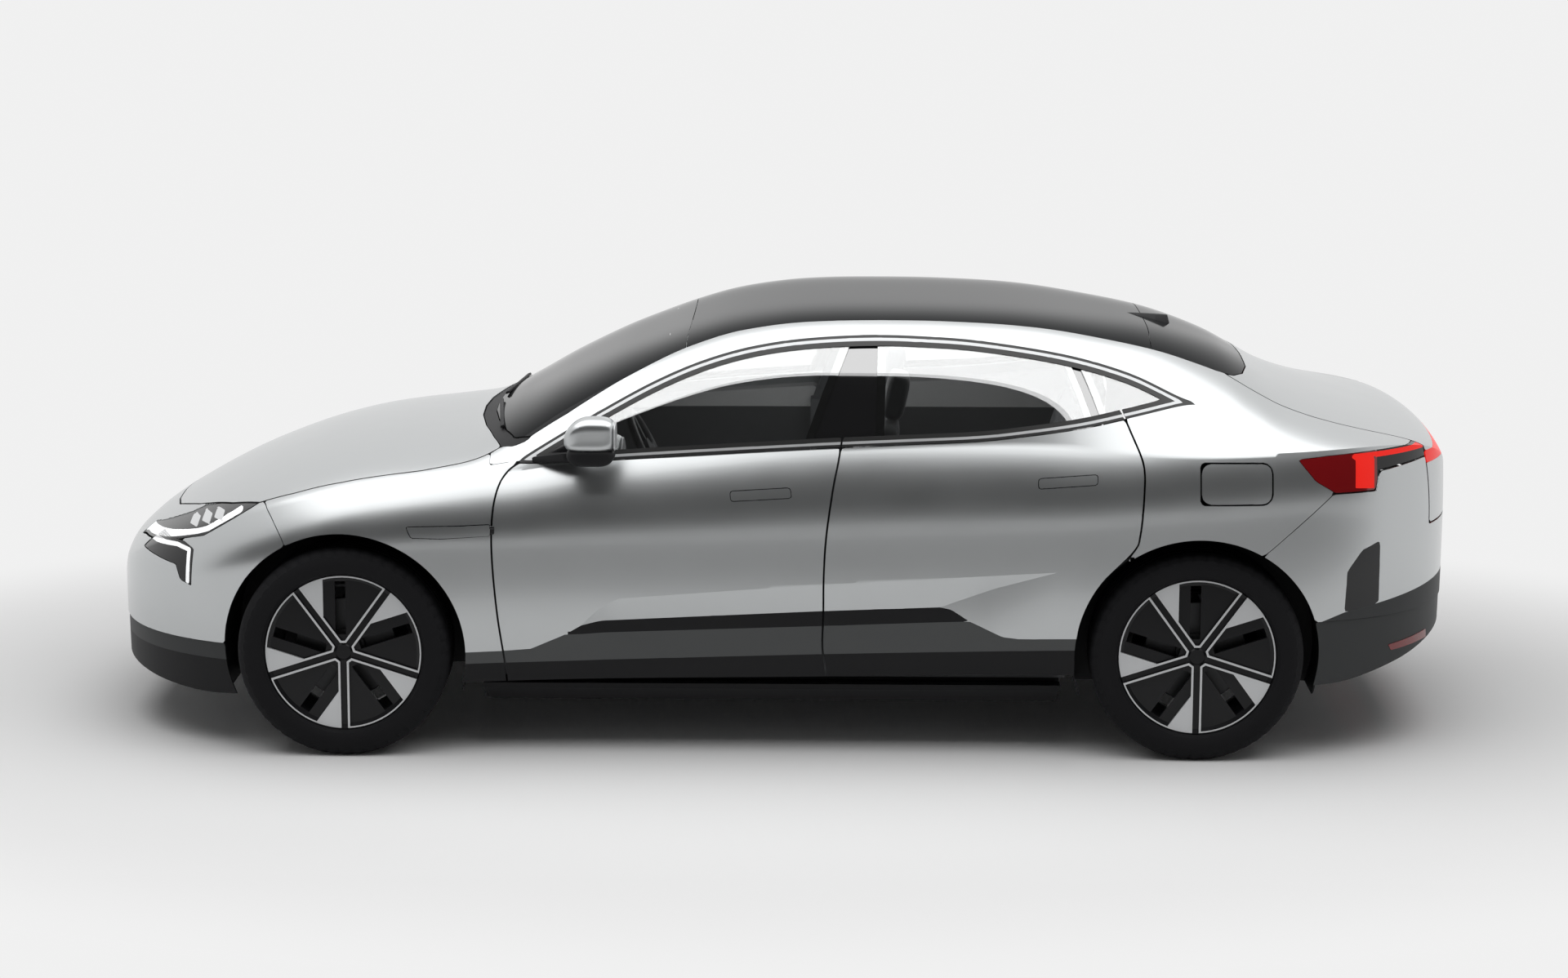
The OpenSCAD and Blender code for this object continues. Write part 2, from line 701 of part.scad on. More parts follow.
// Bonnet and tailgate
hood_hinge_x = real_x(-915);
hood_hinge_z = real_z(1062);
hood_hinge_y = 640;
hinge_shelf_z = real_z(900);
tail_hinge_x = real_x(1752);
tail_hinge_y = 360;
tail_hinge_z = top_z(1752, tail_hinge_y) - 62;
module lid_leaves(x, y, z, reach, lift, dip = 0) {
    for (s = [-1, 1]) translate([x, s * y, z]) difference() {
        union() {
            rotate([90, 0, 0]) cylinder(r = hinge_r + 6, h = hinge_leaf_h, center = true);
            translate([-hinge_r, -hinge_leaf_h / 2, -hinge_r - dip])
                cube([2 * hinge_r, hinge_leaf_h, hinge_r + dip]);
            translate([min(reach, 0), -hinge_leaf_h / 2, -hinge_r - dip])
                cube([abs(reach), hinge_leaf_h, 2 * hinge_r]);
            translate([reach - 10, -hinge_leaf_h / 2, -hinge_r - dip])
                cube([20, hinge_leaf_h, hinge_r + dip + lift]);
        }
        rotate([90, 0, 0]) cylinder(r = hinge_r + pin_clearance, h = 2 * hinge_leaf_h, center = true);
    }
}
module lid_pins(x, y, z, drop) {
    for (s = [-1, 1]) translate([x, s * y, z]) {
        rotate([90, 0, 0]) cylinder(r = hinge_r, h = hinge_leaf_h + 36, center = true);
        for (k = [-1, 1]) translate([0, k * (hinge_leaf_h / 2 + 9), 0]) {
            rotate([90, 0, 0]) cylinder(r = hinge_r + 4, h = 14, center = true);
            translate([-hinge_r - 4, -7, -drop]) cube([2 * hinge_r + 8, 14, drop]);
        }
    }
}
module hood() {
    color("silver") {
        skin() {
            intersection() {
                wall(0, skin_t);
                from_above(both_edges(bonnet_edge), -gap / 2);
                translate([-2 * length, -width, real_z(700)]) cube([4 * length, 2 * width, height]);
            }
        }
        lid_leaves(hood_hinge_x, hood_hinge_y, hood_hinge_z, -185,
            top_z(-1100, hood_hinge_y) - hood_hinge_z - skin_t + 1.5, 70);
    }
}
module tailgate() {
    color("silver") {
        skin() intersection() {
            wall(0, skin_t);
            difference() {
                tailgate_zone(-gap / 2);
                across() offset(delta = 0.4) light_bar_2d();
            }
        }
        lid_leaves(tail_hinge_x, tail_hinge_y, tail_hinge_z, 80, top_z(1842,
            tail_hinge_y) - tail_hinge_z - skin_t + 1.5);
    }
}
module charge_flap() {
    color("silver") {
        skin() intersection() {
            wall(0, skin_t);
            left_side() offset(delta = -gap / 2) flap_2d();
        }
        translate([flap_hinge_x, -flap_hinge_y, flap_hinge_z]) rotate([-flap_lean, 0, 0]) difference() {
            union() {
                cylinder(r = 9, h = 28, center = true);
                translate([0, -9, -14]) cube([50, 9, 28]);
                translate([38, -flap_hinge_in + skin_t / 2 + 2, -14])
                    cube([12, flap_hinge_in - skin_t / 2 - 4, 28]);
            }
            cylinder(r = 5 + pin_clearance, h = 80, center = true);
        }
    }
}

// Structure inside the shell
jack_y = 671;
jack_r = 28;
boot_end = 2220;
module floor_pan() {
    color([0.2, 0.2, 0.22]) {
        translate([real_x(-1060), -frame_side, floor_z - floor_t])
            cube([real_x(784) - real_x(-1060), 2 * frame_side, floor_t]);
        translate([real_x(-1060) - 24, -frame_side, floor_z - floor_t])
            cube([24, 2 * frame_side, hinge_shelf_z - floor_z + floor_t]);
        translate([real_x(-1060) - 24, -frame_side, hinge_shelf_z - 20])
            cube([real_x(-900) - real_x(-1060) + 24, 2 * frame_side, 20]);
        translate([real_x(760), -684, floor_z - floor_t]) cube([24, 1368, floor_t + 170]);
        translate([real_x(760), -684, floor_z + 146]) cube([real_x(1060) - real_x(760), 1368, 24]);
        translate([real_x(1036), -684, floor_z + 146]) cube([24, 1368, 90]);
        translate([real_x(1036), -684, floor_z + 212]) cube([real_x(boot_end) - real_x(1036), 1368, 24]);
        for (x = [-800, 640], s = [-1, 1]) translate([real_x(x), s * jack_y, floor_z - floor_t - battery_h])
            cylinder(r = jack_r, h = battery_h);
    }
}
module battery_pack() {
    color([0.3, 0.32, 0.34]) translate([real_x(-900), -640, floor_z - floor_t - battery_h])
        cube([real_x(700) - real_x(-900), 1280, battery_h]);
}
module steering_wheel() {
    color([0.08, 0.08, 0.09]) steering_place() {
        rotate_extrude() translate([steering_d / 2 - 15, 0]) circle(r = 15);
        cylinder(r = 60, h = 30, center = true);
        for (a = [90, 180, 270]) rotate([0, 0, a]) translate([50, -18, -10])
            cube([steering_d / 2 - 62, 36, 20]);
        translate([0, 0, -180]) cylinder(r = 18, h = 180);
    }
}

// Wheels, drawn about their own middle with the outer side along -Y
hub_r = 75;
stub_r = 25;
seat_r = 254 * rim_d / 534;
rim_inner_r = seat_r - 14;
wheel_face = 88;
inset_depth = 12;
inset_angle = 21;
groove_w = 9;
groove_depth = 7;
module tyre() {
    color([0.07, 0.07, 0.075]) rotate([90, 0, 0]) rotate_extrude($fn = 72)
        polygon([[seat_r, -104], [seat_r, 104], [seat_r + 14, tyre_w / 2 - 6], [seat_r + 60, tyre_w / 2],
            [tyre_d / 2 - 26, tyre_w / 2 - 4], [tyre_d / 2 - 6, tyre_w / 2 - 22], [tyre_d / 2,
                tyre_w / 2 - 50],
            [tyre_d / 2, 50 - tyre_w / 2], [tyre_d / 2 - 6, 22 - tyre_w / 2], [tyre_d / 2 - 26,
                4 - tyre_w / 2],
            [seat_r + 60, -tyre_w / 2], [seat_r + 14, 6 - tyre_w / 2]]);
}
module rim() {
    color([0.72, 0.73, 0.75]) rotate([90, 0, 0]) difference() {
        union() {
            rotate_extrude($fn = 72) polygon([[rim_inner_r, -104], [seat_r, -104], [seat_r, 104],
                [rim_inner_r, 104]]);
            translate([0, 0, 62]) cylinder(r = rim_inner_r + 4, h = wheel_face - 62, $fn = 72);
            translate([0, 0, 20]) cylinder(r = hub_r, h = 50);
            translate([0, 0, -4]) cylinder(r = disc_d / 2, h = 26, $fn = 72);
        }
        translate([0, 0, -50]) cylinder(r = stub_r + pin_clearance, h = 120);
        for (i = [0:4]) {
            rotate([0, 0, 72 * i + 36 - 90]) {
                translate([hub_r + 40, -14, 40]) cube([105, 28, 80]);
                translate([0, 0, wheel_face - inset_depth]) linear_extrude(height = 60) inset_2d();
            }
            rotate([0, 0, 72 * i - 90]) translate([hub_r - 30, -groove_w / 2, wheel_face - groove_depth])
                cube([rim_inner_r - hub_r + 20, groove_w, 60]);
        }
    }
}
// Sunk field between two spokes
module inset_2d() {
    polygon(concat(
        [for (a = [-inset_angle, 0, inset_angle]) (rim_inner_r - 8) * [cos(a), sin(a)]],
        [for (a = [inset_angle, -inset_angle]) (hub_r + 18) * [cos(a), sin(a)]]));
}
module at_wheel(front, side) {
    translate([front ? front_axle_x : rear_axle_x, side * wheel_y, axle_z])
        rotate([0, 0, side < 0 ? 0 : 180]) children();
}
module tyre_front_left() { at_wheel(true, -1) tyre(); }
module tyre_front_right() { at_wheel(true, 1) tyre(); }
module tyre_rear_left() { at_wheel(false, -1) tyre(); }
module tyre_rear_right() { at_wheel(false, 1) tyre(); }
module rim_front_left() { at_wheel(true, -1) rim(); }
module rim_front_right() { at_wheel(true, 1) rim(); }
module rim_rear_left() { at_wheel(false, -1) rim(); }
module rim_rear_right() { at_wheel(false, 1) rim(); }

// Height of the upper surface at a distance from the middle plane, drawn coordinates
function crown_at(x, t) =
    let (zt = along(waist_z, x), yt = side_y(x, zt), yc = plan_share(x) * along(crown_y, x),
         e = 2 / along(crown_square, x))
    lerp(yt, yc, t) * pow(cos(asin(pow(t, 1 / e))), e);
function top_share(x, y, low = 0, high = 1, n = 16) =
    n == 0 ? low
    : crown_at(x, (low + high) / 2) > y ? top_share(x, y, (low + high) / 2, high, n - 1)
    : top_share(x, y, low, (low + high) / 2, n - 1);
function top_z(x, y) = real_z(lerp(along(waist_z, x), along(centre_z, x), top_share(x, y)));

// Bar across the tail between the lamps
light_bar_low = 1018;
light_bar_high = 1062;
module light_bar_2d() {
    translate([real_x(2200), real_z(light_bar_low)]) square([300,
        real_z(light_bar_high) - real_z(light_bar_low)]);
}
module tail_light_bar() {
    color([0.6, 0.05, 0.05]) skin() intersection() {
        wall(0, skin_t);
        tailgate_zone(-gap / 2);
        across() light_bar_2d();
    }
}

// Door apertures: pillars, sill and the middle post up to the roof rail
frame_side = 700;
frame_out_y = door_inner_y - 8;
module door_frames() {
    color([0.45, 0.46, 0.48]) both_sides() {
        translate([real_x(-1060), -frame_out_y, floor_z - 68])
            cube([real_x(1020) - real_x(-1060), frame_out_y - frame_side, 68]);
        translate([real_x(-1072), -frame_out_y, floor_z - 68])
            cube([real_x(-996) + door_inset_front - 12 - real_x(-1072), frame_out_y - frame_side,
                real_z(960) - floor_z + 68]);
        post_x = real_x(160) - door_inset_rear + 14;
        post_l = real_x(160) + door_inset_front - 12 - post_x;
        translate([post_x, -frame_out_y, floor_z - 68]) cube([post_l, frame_out_y - frame_side,
            real_z(1010) - floor_z + 68]);
        skin() intersection() {
            hull() {
                translate([post_x + 10, -frame_out_y, real_z(1010)]) cube([post_l - 20, 60, 1]);
                translate([real_x(286), -real_y(650), real_z(1520)]) cube([56, 40, 1]);
            }
            body_form(skin_t + joint_gap);
        }
    }
}
// Covers under the sills
sill_cover_z = 176;
module sill_trims() {
    color([0.08, 0.08, 0.085]) both_sides() {
        x = real_x(-1040);
        l = real_x(1000) - x;
        translate([x, -frame_out_y + 10, sill_cover_z])
            cube([l, frame_out_y - 10 - frame_side - 12, floor_z - 68 - joint_gap - sill_cover_z]);
        hull() {
            translate([x, -real_y(868), real_z(232)]) cube([l, 60, 18]);
            translate([x + 20, -frame_out_y, sill_cover_z]) cube([l - 40, 40, 20]);
        }
    }
}
module wheel_arch_liners() {
    color([0.05, 0.05, 0.055]) skin() both_sides() for (x = [front_axle_x, rear_axle_x]) {
        inner = x < 0 ? 480 : 690;
        intersection() {
            body_form(valance_in + skin_t + joint_gap, 200);
            translate([x, -inner + 6, axle_z]) rotate([90, 0, 0]) difference() {
                cylinder(r = arch_r + 10, h = width, $fn = 40);
                translate([0, 0, 6]) cylinder(r = arch_r + 5, h = width, $fn = 40);
                translate([-90, -600, -10]) cube([180, 780, 40]);
            }
            translate([x - arch_r - 20, -width, real_z(230)]) cube([2 * arch_r + 40, width, height]);
        }
    }
}

// Running gear
king_y = 800;
king_r = 12;
lower_arm_z = axle_z - 124;
upper_arm_z = axle_z + 124;
arm_t = 28;
module arms(x, bored) {
    for (s = [-1, 1], z = [lower_arm_z, upper_arm_z]) difference() {
        union() {
            translate([x - 30, min(s * 380, s * (king_y - 20)), z]) cube([60, king_y - 400, arm_t]);
            translate([x, s * king_y, z]) cylinder(r = 34, h = arm_t);
        }
        if (bored) translate([x, s * king_y, z - 10]) cylinder(r = king_r + pin_clearance, h = arm_t + 20);
    }
}
module tow_end(x, dir) {
    difference() {
        union() {
            translate([min(x + dir * 130, x + dir * 170), -500, tow_z - 30]) cube([40, 1000, 60]);
            translate([x + dir * 80, tow_y, tow_z]) rotate([0, dir * 90, 0])
                cylinder(r = tow_r + 10, h = tow_depth + 20);
        }
        translate([x + dir * 79, tow_y, tow_z]) rotate([0, dir * 90, 0])
            cylinder(r = tow_r, h = tow_depth + 2);
    }
}
tow_y = 430;
tow_z = 345;
module subframes() {
    color([0.25, 0.26, 0.28]) {
        arms(front_axle_x, true);
        arms(rear_axle_x, false);
        for (x = [front_axle_x, rear_axle_x]) {
            translate([x - 60, -440, lower_arm_z - 40]) cube([120, 880, 50]);
            for (s = [-1, 1]) translate([x - 40, s * 420 - 20, lower_arm_z]) cube([80, 40, 200]);
        }
        for (s = [-1, 1]) {
            translate([nose_x + 160, s * 420 - 20, tow_z - 30]) cube([front_axle_x - nose_x - 140, 40, 60]);
            translate([rear_axle_x - 20, s * 420 - 20, tow_z - 30])
                cube([tail_x - rear_axle_x - 140, 40, 60]);
            translate([front_axle_x + 20, s * 420 - 20, 260])
                cube([real_x(-900) - front_axle_x - 20, 40, 40]);
            translate([real_x(700), s * 420 - 20, 240]) cube([rear_axle_x - 20 - real_x(700), 40, 40]);
        }
        tow_end(nose_x, 1);
        tow_end(tail_x, -1);
    }
}
module rear_drive_unit() {
    color([0.4, 0.41, 0.43]) translate([rear_axle_x - 170, -300, lower_arm_z + 10]) cube([340, 600, 200]);
}
stub_end = 60;
module stub(side) {
    translate([0, side * king_y, axle_z]) rotate([90, 0, 0])
        translate([0, 0, side < 0 ? 0 : -(wheel_y - king_y + stub_end)])
        cylinder(r = stub_r, h = wheel_y - king_y + stub_end);
}
module knuckle(side) {
    color([0.5, 0.51, 0.53]) translate([front_axle_x, 0, 0]) {
        translate([-34, side * king_y - 24, lower_arm_z + arm_t + 4])
            cube([68, 48, upper_arm_z - lower_arm_z - arm_t - 8]);
        translate([0, side * king_y, lower_arm_z - 6]) cylinder(r = king_r,
            h = upper_arm_z - lower_arm_z + arm_t + 12);
        stub(side);
    }
}
module knuckle_left() { knuckle(-1); }
module knuckle_right() { knuckle(1); }
module rear_knuckles() {
    color([0.5, 0.51, 0.53]) for (s = [-1, 1]) translate([rear_axle_x, 0, 0]) {
        translate([-34, s * king_y - 24, lower_arm_z + arm_t])
            cube([68, 48, upper_arm_z - lower_arm_z - arm_t]);
        stub(s);
    }
}

// Cabin
console_w = 236;
module dashboard() {
    color([0.1, 0.1, 0.11]) {
        difference() {
            union() {
                translate([real_x(-1060), -660, real_z(700)])
                    cube([real_x(-680) - real_x(-1060), 1320, 178]);
                translate([real_x(-888), -660, real_z(700) + 100])
                    cube([real_x(-720) - real_x(-888), 1320, 160]);
                translate([real_x(-760), -console_w / 2, floor_z])
                    cube([real_x(330) - real_x(-760), console_w, 260]);
                translate([real_x(-760), -console_w / 2, floor_z])
                    cube([80, console_w, real_z(720) - floor_z]);
                steering_place() translate([0, 0, -260]) cylinder(r = 38, h = 190);
            }
            steering_place() translate([0, 0, -200]) cylinder(r = 18 + pin_clearance, h = 300);
        }
    }
}
module steering_place() {
    translate([real_x(-470), -380, real_z(985)]) rotate([0, 64, 0]) children();
}
module front_seats() {
    color([0.12, 0.12, 0.13]) skin() both_sides() translate([real_x(0), -380, floor_z]) {
        translate([-190, -190, 0]) cube([380, 380, 100]);
        hull() for (x = [-260, 220], y = [-210, 210], z = [130, 190]) translate([x, y, z])
            sphere(r = 40, $fn = 8);
        hull() for (y = [-200, 200], p = [[220, 170], [390, 760]]) translate([p[0], y, p[1]])
            sphere(r = 55, $fn = 8);
        hull() for (y = [-90, 90], p = [[410, 840], [430, 930]]) translate([p[0], y, p[1]])
            sphere(r = 42, $fn = 8);
        translate([370, -40, 740]) cube([40, 80, 100]);
    }
}
module rear_seat() {
    color([0.12, 0.12, 0.13]) skin() translate([real_x(540), 0, floor_z + 170]) {
        hull() for (x = [40, 420], y = [-580, 580], z = [40, 80]) translate([x, y, z])
            sphere(r = 40, $fn = 8);
        hull() for (y = [-570, 570], p = [[430, 80], [570, 580]]) translate([p[0], y, p[1]])
            sphere(r = 55, $fn = 8);
        for (y = [-380, 0, 380]) hull() for (k = [-70, 70], p = [[585, 640], [600, 720]])
            translate([p[0], y + k, p[1]]) sphere(r = 40, $fn = 8);
    }
}

// Hinge pins of doors, bonnet, tailgate and charging flap, with their brackets
flap_hinge_back = 34;
flap_hinge_in = 30;
flap_lean = 15;
port_depth = 62;
flap_hinge_x = real_x(flap_corners[0][0]) + gap / 2 + flap_hinge_back;
flap_hinge_z = real_z((flap_corners[0][1] + flap_corners[1][1]) / 2);
flap_hinge_y = real_y(side_y(flap_corners[0][0] + flap_hinge_back, 998)) - flap_hinge_in;
header_x = real_x(1552);
module door_brackets(x, y) {
    for (z = hinge_heights) translate([x, -y, z]) {
        cylinder(r = hinge_r, h = hinge_leaf_h + 36, center = true);
        for (s = [-1, 1]) translate([0, 0, s * (hinge_leaf_h / 2 + 9)]) {
            cylinder(r = hinge_r + 4, h = 14, center = true);
            translate([-9, 0, -7])
                cube([18, y - frame_out_y, 14]);
        }
    }
}
module hinge_pins() {
    color([0.55, 0.56, 0.58]) {
        both_sides() {
            door_brackets(front_hinge_x, front_hinge_y);
            door_brackets(rear_hinge_x, rear_hinge_y);
        }
        lid_pins(hood_hinge_x, hood_hinge_y, hood_hinge_z, hood_hinge_z - hinge_shelf_z);
        lid_pins(tail_hinge_x, tail_hinge_y, tail_hinge_z, 90);
        translate([header_x, -470, tail_hinge_z - 100]) cube([40, 940, 30]);
        for (s = [-1, 1], k = [-1, 1])
            translate([header_x + 20, s * tail_hinge_y + k * (hinge_leaf_h / 2 + 9) - 7,
                tail_hinge_z - 100])
                cube([tail_hinge_x - header_x - 20, 14, 30]);
        skin() intersection() {
            for (s = [-1, 1]) translate([header_x, s * 440 - 15, tail_hinge_z - 100]) cube([30, 30, 280]);
            body_form(1 + skin_t + joint_gap);
        }
    }
}
module charge_port() {
    color([0.1, 0.1, 0.11]) {
        skin() {
            intersection() {
                body_form(skin_t + joint_gap);
                left_side() difference() {
                    offset(delta = 24) flap_2d();
                    offset(delta = 14) flap_2d();
                }
                translate([0, -width, 0]) cube([length, width - flap_hinge_y + port_depth, height]);
            }
            translate([0, -flap_hinge_y + port_depth, 0]) rotate([90, 0, 0]) linear_extrude(height = 6)
                offset(delta = 24) flap_2d();
        }
        translate([flap_hinge_x + 96, -flap_hinge_y + port_depth - 5.5, flap_hinge_z]) rotate([90, 0, 0])
            cylinder(r = 34, h = 16);
        translate([flap_hinge_x, -flap_hinge_y, flap_hinge_z]) rotate([-flap_lean, 0, 0]) {
            cylinder(r = 5, h = 52, center = true);
            for (s = [-1, 1]) translate([-5, 0, s * 21 - 5]) cube([10, port_depth + 4, 10]);
        }
    }
}

floor_pan();
battery_pack();
subframes();
rear_drive_unit();
rear_knuckles();
wheel_arch_liners();
door_frames();
sill_trims();
hinge_pins();
body_sides();
front_fenders();
front_bumper();
front_valance();
headlamps();
cowl();
windscreen();
roof_glass();
rear_roof_panel();
quarter_glasses();
tail_lamps();
rear_bumper();
rear_valance();
charge_port();
dashboard();
front_seats();
rear_seat();
steering_wheel();
hood();
tailgate();
tail_light_bar();
charge_flap();
front_door_left();
front_door_right();
rear_door_left();
rear_door_right();
front_glass_left();
front_glass_right();
rear_glass_left();
rear_glass_right();
mirror_left();
mirror_right();
knuckle_left();
knuckle_right();
tyre_front_left();
tyre_front_right();
tyre_rear_left();
tyre_rear_right();
rim_front_left();
rim_front_right();
rim_rear_left();
rim_rear_right();
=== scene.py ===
"""A five-door coupe sport utility vehicle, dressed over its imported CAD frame."""
import logging
import math
from dataclasses import dataclass
from enum import Enum
from typing import Callable, Iterable, Sequence

import bmesh
import bpy
import numpy as np
from mathutils import Matrix, Vector


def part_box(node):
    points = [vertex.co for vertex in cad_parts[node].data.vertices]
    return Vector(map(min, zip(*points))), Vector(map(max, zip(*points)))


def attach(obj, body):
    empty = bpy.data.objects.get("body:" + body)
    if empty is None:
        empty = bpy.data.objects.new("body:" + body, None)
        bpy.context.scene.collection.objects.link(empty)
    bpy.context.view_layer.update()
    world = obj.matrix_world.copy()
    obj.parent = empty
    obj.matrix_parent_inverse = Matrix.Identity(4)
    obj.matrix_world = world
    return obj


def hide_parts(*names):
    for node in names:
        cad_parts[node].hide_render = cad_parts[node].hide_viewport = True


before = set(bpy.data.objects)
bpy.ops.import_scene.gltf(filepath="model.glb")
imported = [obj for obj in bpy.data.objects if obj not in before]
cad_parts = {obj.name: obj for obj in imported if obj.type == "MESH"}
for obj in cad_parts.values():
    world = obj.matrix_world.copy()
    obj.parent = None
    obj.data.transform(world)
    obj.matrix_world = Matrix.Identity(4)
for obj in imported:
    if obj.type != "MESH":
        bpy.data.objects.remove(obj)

log = logging.getLogger("vehicle")
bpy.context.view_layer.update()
Mesh, Vert, Face = bmesh.types.BMesh, bmesh.types.BMVert, bmesh.types.BMFace
Points = Sequence[tuple[float, float]]
Level = Callable[[np.ndarray], np.ndarray]
# A millimetre, the height of the axles and a length beyond everything, in metres.
MM, AXLE_Z, FAR = 0.001, 0.374, 1e9
# Walls of skins and panes, gaps round moving panels and joints between fixed ones, in millimetres.
SKIN, PANE, GAP, JOINT = 5.0, 5.0, 3.4, 1.4
# Heights on a section of the body, as shares: lower edge, waist and middle of the roof.
SILL, WAIST, CROWN = 0.0, 1.0, 2.0
# Where the sheets of nose and tail start and end, and the half width that the sides stay outside.
NOSE, TAIL, RAIL_Y = (-2424, -1690), (1650, 2424), 460


class Side(Enum):
    """The two sides of the car, with the sign of Y."""
    LEFT = -1
    RIGHT = 1

    @property
    def word(self) -> str:
        """The side as nodes and bodies name it."""
        return self.name.lower()


class Axle(Enum):
    """The two axles, with their place along the car in metres."""
    FRONT = -1.525
    REAR = 1.474

    @property
    def word(self) -> str:
        """The axle as nodes and bodies name it."""
        return self.name.lower()


def add_node(tree: bpy.types.NodeTree, kind: str, inputs: dict | None = None,
             operation: str = "") -> bpy.types.Node:
    """Adds a shader node to a tree.

    Args:
        tree: The tree.
        kind: The node's type, without the prefix that shader nodes share.
        inputs: For an input's name or number, the socket to link or the value to set.
        operation: What a maths node works out.

    Returns:
        The node.
    """
    node = tree.nodes.new("ShaderNode" + kind)
    if operation:
        node.operation = operation
    for key, value in (inputs or {}).items():
        if isinstance(value, bpy.types.NodeSocket):
            tree.links.new(value, node.inputs[key])
        else:
            node.inputs[key].default_value = value
    return node


def grain_group(detail: float = 3.0, broad_scale: float = 6.0, base: float = 0.95) -> bpy.types.NodeTree:
    """Builds the shared grain: a fine noise that tints a colour, shifts roughness and lifts a bump.

    Args:
        detail: Detail of the fine noise.
        broad_scale: Scale of the broad noise that shifts the roughness.
        base: Share of the colour that is left where the noise is darkest.

    Returns:
        The node group, made once.
    """
    name, number, colour = "surface_grain", "NodeSocketFloat", "NodeSocketColor"
    if name in bpy.data.node_groups:
        return bpy.data.node_groups[name]
    tree = bpy.data.node_groups.new(name, "ShaderNodeTree")
    for label, kind, value in (("Color", colour, (0.5, 0.5, 0.5, 1)), ("Tint", number, 0.1),
                               ("Roughness", number, 0.5), ("Spread", number, 0.1), ("Scale", number, 300.0)):
        tree.interface.new_socket(label, in_out="INPUT", socket_type=kind).default_value = value
    for label, kind in (("Color", colour), ("Roughness", number), ("Height", number)):
        tree.interface.new_socket(label, in_out="OUTPUT", socket_type=kind)
    given, out = tree.nodes.new("NodeGroupInput").outputs, tree.nodes.new("NodeGroupOutput")
    place = add_node(tree, "TexCoord").outputs["Object"]
    fine, broad = (add_node(tree, "TexNoise", {"Vector": place, **more}).outputs["Fac"] for more in
                   ({"Scale": given["Scale"], "Detail": detail}, {"Scale": broad_scale}))
    shade = add_node(tree, "Math", {0: fine, 1: given["Tint"], 2: base}, "MULTIPLY_ADD").outputs[0]
    tinted = add_node(tree, "VectorMath", {0: given["Color"], "Scale": shade}, "SCALE").outputs[0]
    centred = add_node(tree, "Math", {0: broad, 1: 0.5}, "SUBTRACT").outputs[0]
    rough = add_node(tree, "Math", {0: centred, 1: given["Spread"], 2: given["Roughness"]}, "MULTIPLY_ADD")
    for label, socket in (("Color", tinted), ("Roughness", rough.outputs[0]), ("Height", fine)):
        tree.links.new(socket, out.inputs[label])
    return tree


@dataclass(frozen=True)
class Finish:
    """A surface finish: its colour, gloss and grain, and the record's slot that it stands for."""
    name: str
    slot: str
    colour: tuple[float, float, float]
    roughness: float = 0.5
    metallic: float = 0.0
    coat: float = 0.0
    tint: float = 0.1
    spread: float = 0.06
    scale: float = 400.0
    bump: float = 0.0
    bump_depth: float = 0.0004
    transmission: float = 0.0
    ior: float = 1.5
    glow: float = 0.0
    sheen: float = 0.0

    def material(self) -> bpy.types.Material:
        """Builds the material once.

        Returns:
            The material.
        """
        if self.name in bpy.data.materials:
            return bpy.data.materials[self.name]
        material = bpy.data.materials.new(self.name)
        material.use_nodes = True
        tree = material.node_tree
        shader, grain = tree.nodes["Principled BSDF"], add_node(tree, "Group")
        grain.node_tree = grain_group()
        for node, values in (
                (grain, {"Color": (*self.colour, 1.0), "Tint": self.tint, "Roughness": self.roughness,
                         "Spread": self.spread, "Scale": self.scale}),
                (shader, {"Metallic": self.metallic, "Coat Weight": self.coat, "IOR": self.ior,
                          "Transmission Weight": self.transmission, "Sheen Weight": self.sheen})):
            for socket, value in values.items():
                node.inputs[socket].default_value = value
        wires = [("Color", "Base Color"), ("Roughness", "Roughness")]
        if self.bump:
            bump = add_node(tree, "Bump", {"Strength": self.bump, "Distance": self.bump_depth,
                                           "Height": grain.outputs["Height"]})
            tree.links.new(bump.outputs["Normal"], shader.inputs["Normal"])
        if self.glow:
            wires.append(("Color", "Emission Color"))
            shader.inputs["Emission Strength"].default_value = self.glow
        for start, end in wires:
            tree.links.new(grain.outputs[start], shader.inputs[end])
        return material


PAINT = Finish("silver_paint", "paint", (0.52, 0.535, 0.54), 0.30, 0.9, coat=0.3, tint=0.1, scale=2600,
               bump=0.05, bump_depth=0.00006)
GLOSS_BLACK = Finish("piano_black", "gloss_black", (0.008, 0.008, 0.009), 0.12, ior=1.4, coat=0.2, tint=0.2,
                     scale=900)
DARK_TRIM = Finish("dark_moulding", "dark_trim", (0.040, 0.042, 0.043), 0.55, ior=1.35, tint=0.3, scale=1400,
                   bump=0.25)
BLACK_TRIM = Finish("black_moulding", "dark_trim", (0.009, 0.009, 0.010), 0.55, ior=1.3, tint=0.3,
                    scale=1400, bump=0.25)
CLADDING = Finish("grey_cladding", "dark_trim", (0.070, 0.073, 0.074), 0.5, ior=1.4, tint=0.2, scale=1400,
                  bump=0.2)
GLASS = Finish("side_glass", "glass", (0.80, 0.82, 0.82), 0.01, ior=3.0, transmission=1.0, tint=0.02,
               spread=0.005)
WHEEL_BLACK = Finish("wheel_black", "gloss_black", (0.006, 0.006, 0.007), 0.3, ior=1.35, tint=0.2, scale=900)
PILLAR = Finish("pillar_black", "gloss_black", (0.008, 0.008, 0.009), 0.05, ior=3.4, tint=0.1, spread=0.01)
SCREEN = Finish("screen_glass", "glass", (0.018, 0.019, 0.020), 0.06, ior=1.12, tint=0.02, spread=0.01)
ROOF = Finish("roof_pane", "roof_glass", (0.014, 0.015, 0.016), 0.08, ior=1.1, tint=0.04, spread=0.02)
BRIGHT = Finish("bright_strip", "alloy", (0.62, 0.63, 0.64), 0.35, 0.35, tint=0.04, scale=900)
RUBBER = Finish("tyre_rubber", "tyre", (0.005, 0.005, 0.006), 0.75, ior=1.3, tint=0.5, scale=700, bump=0.3)
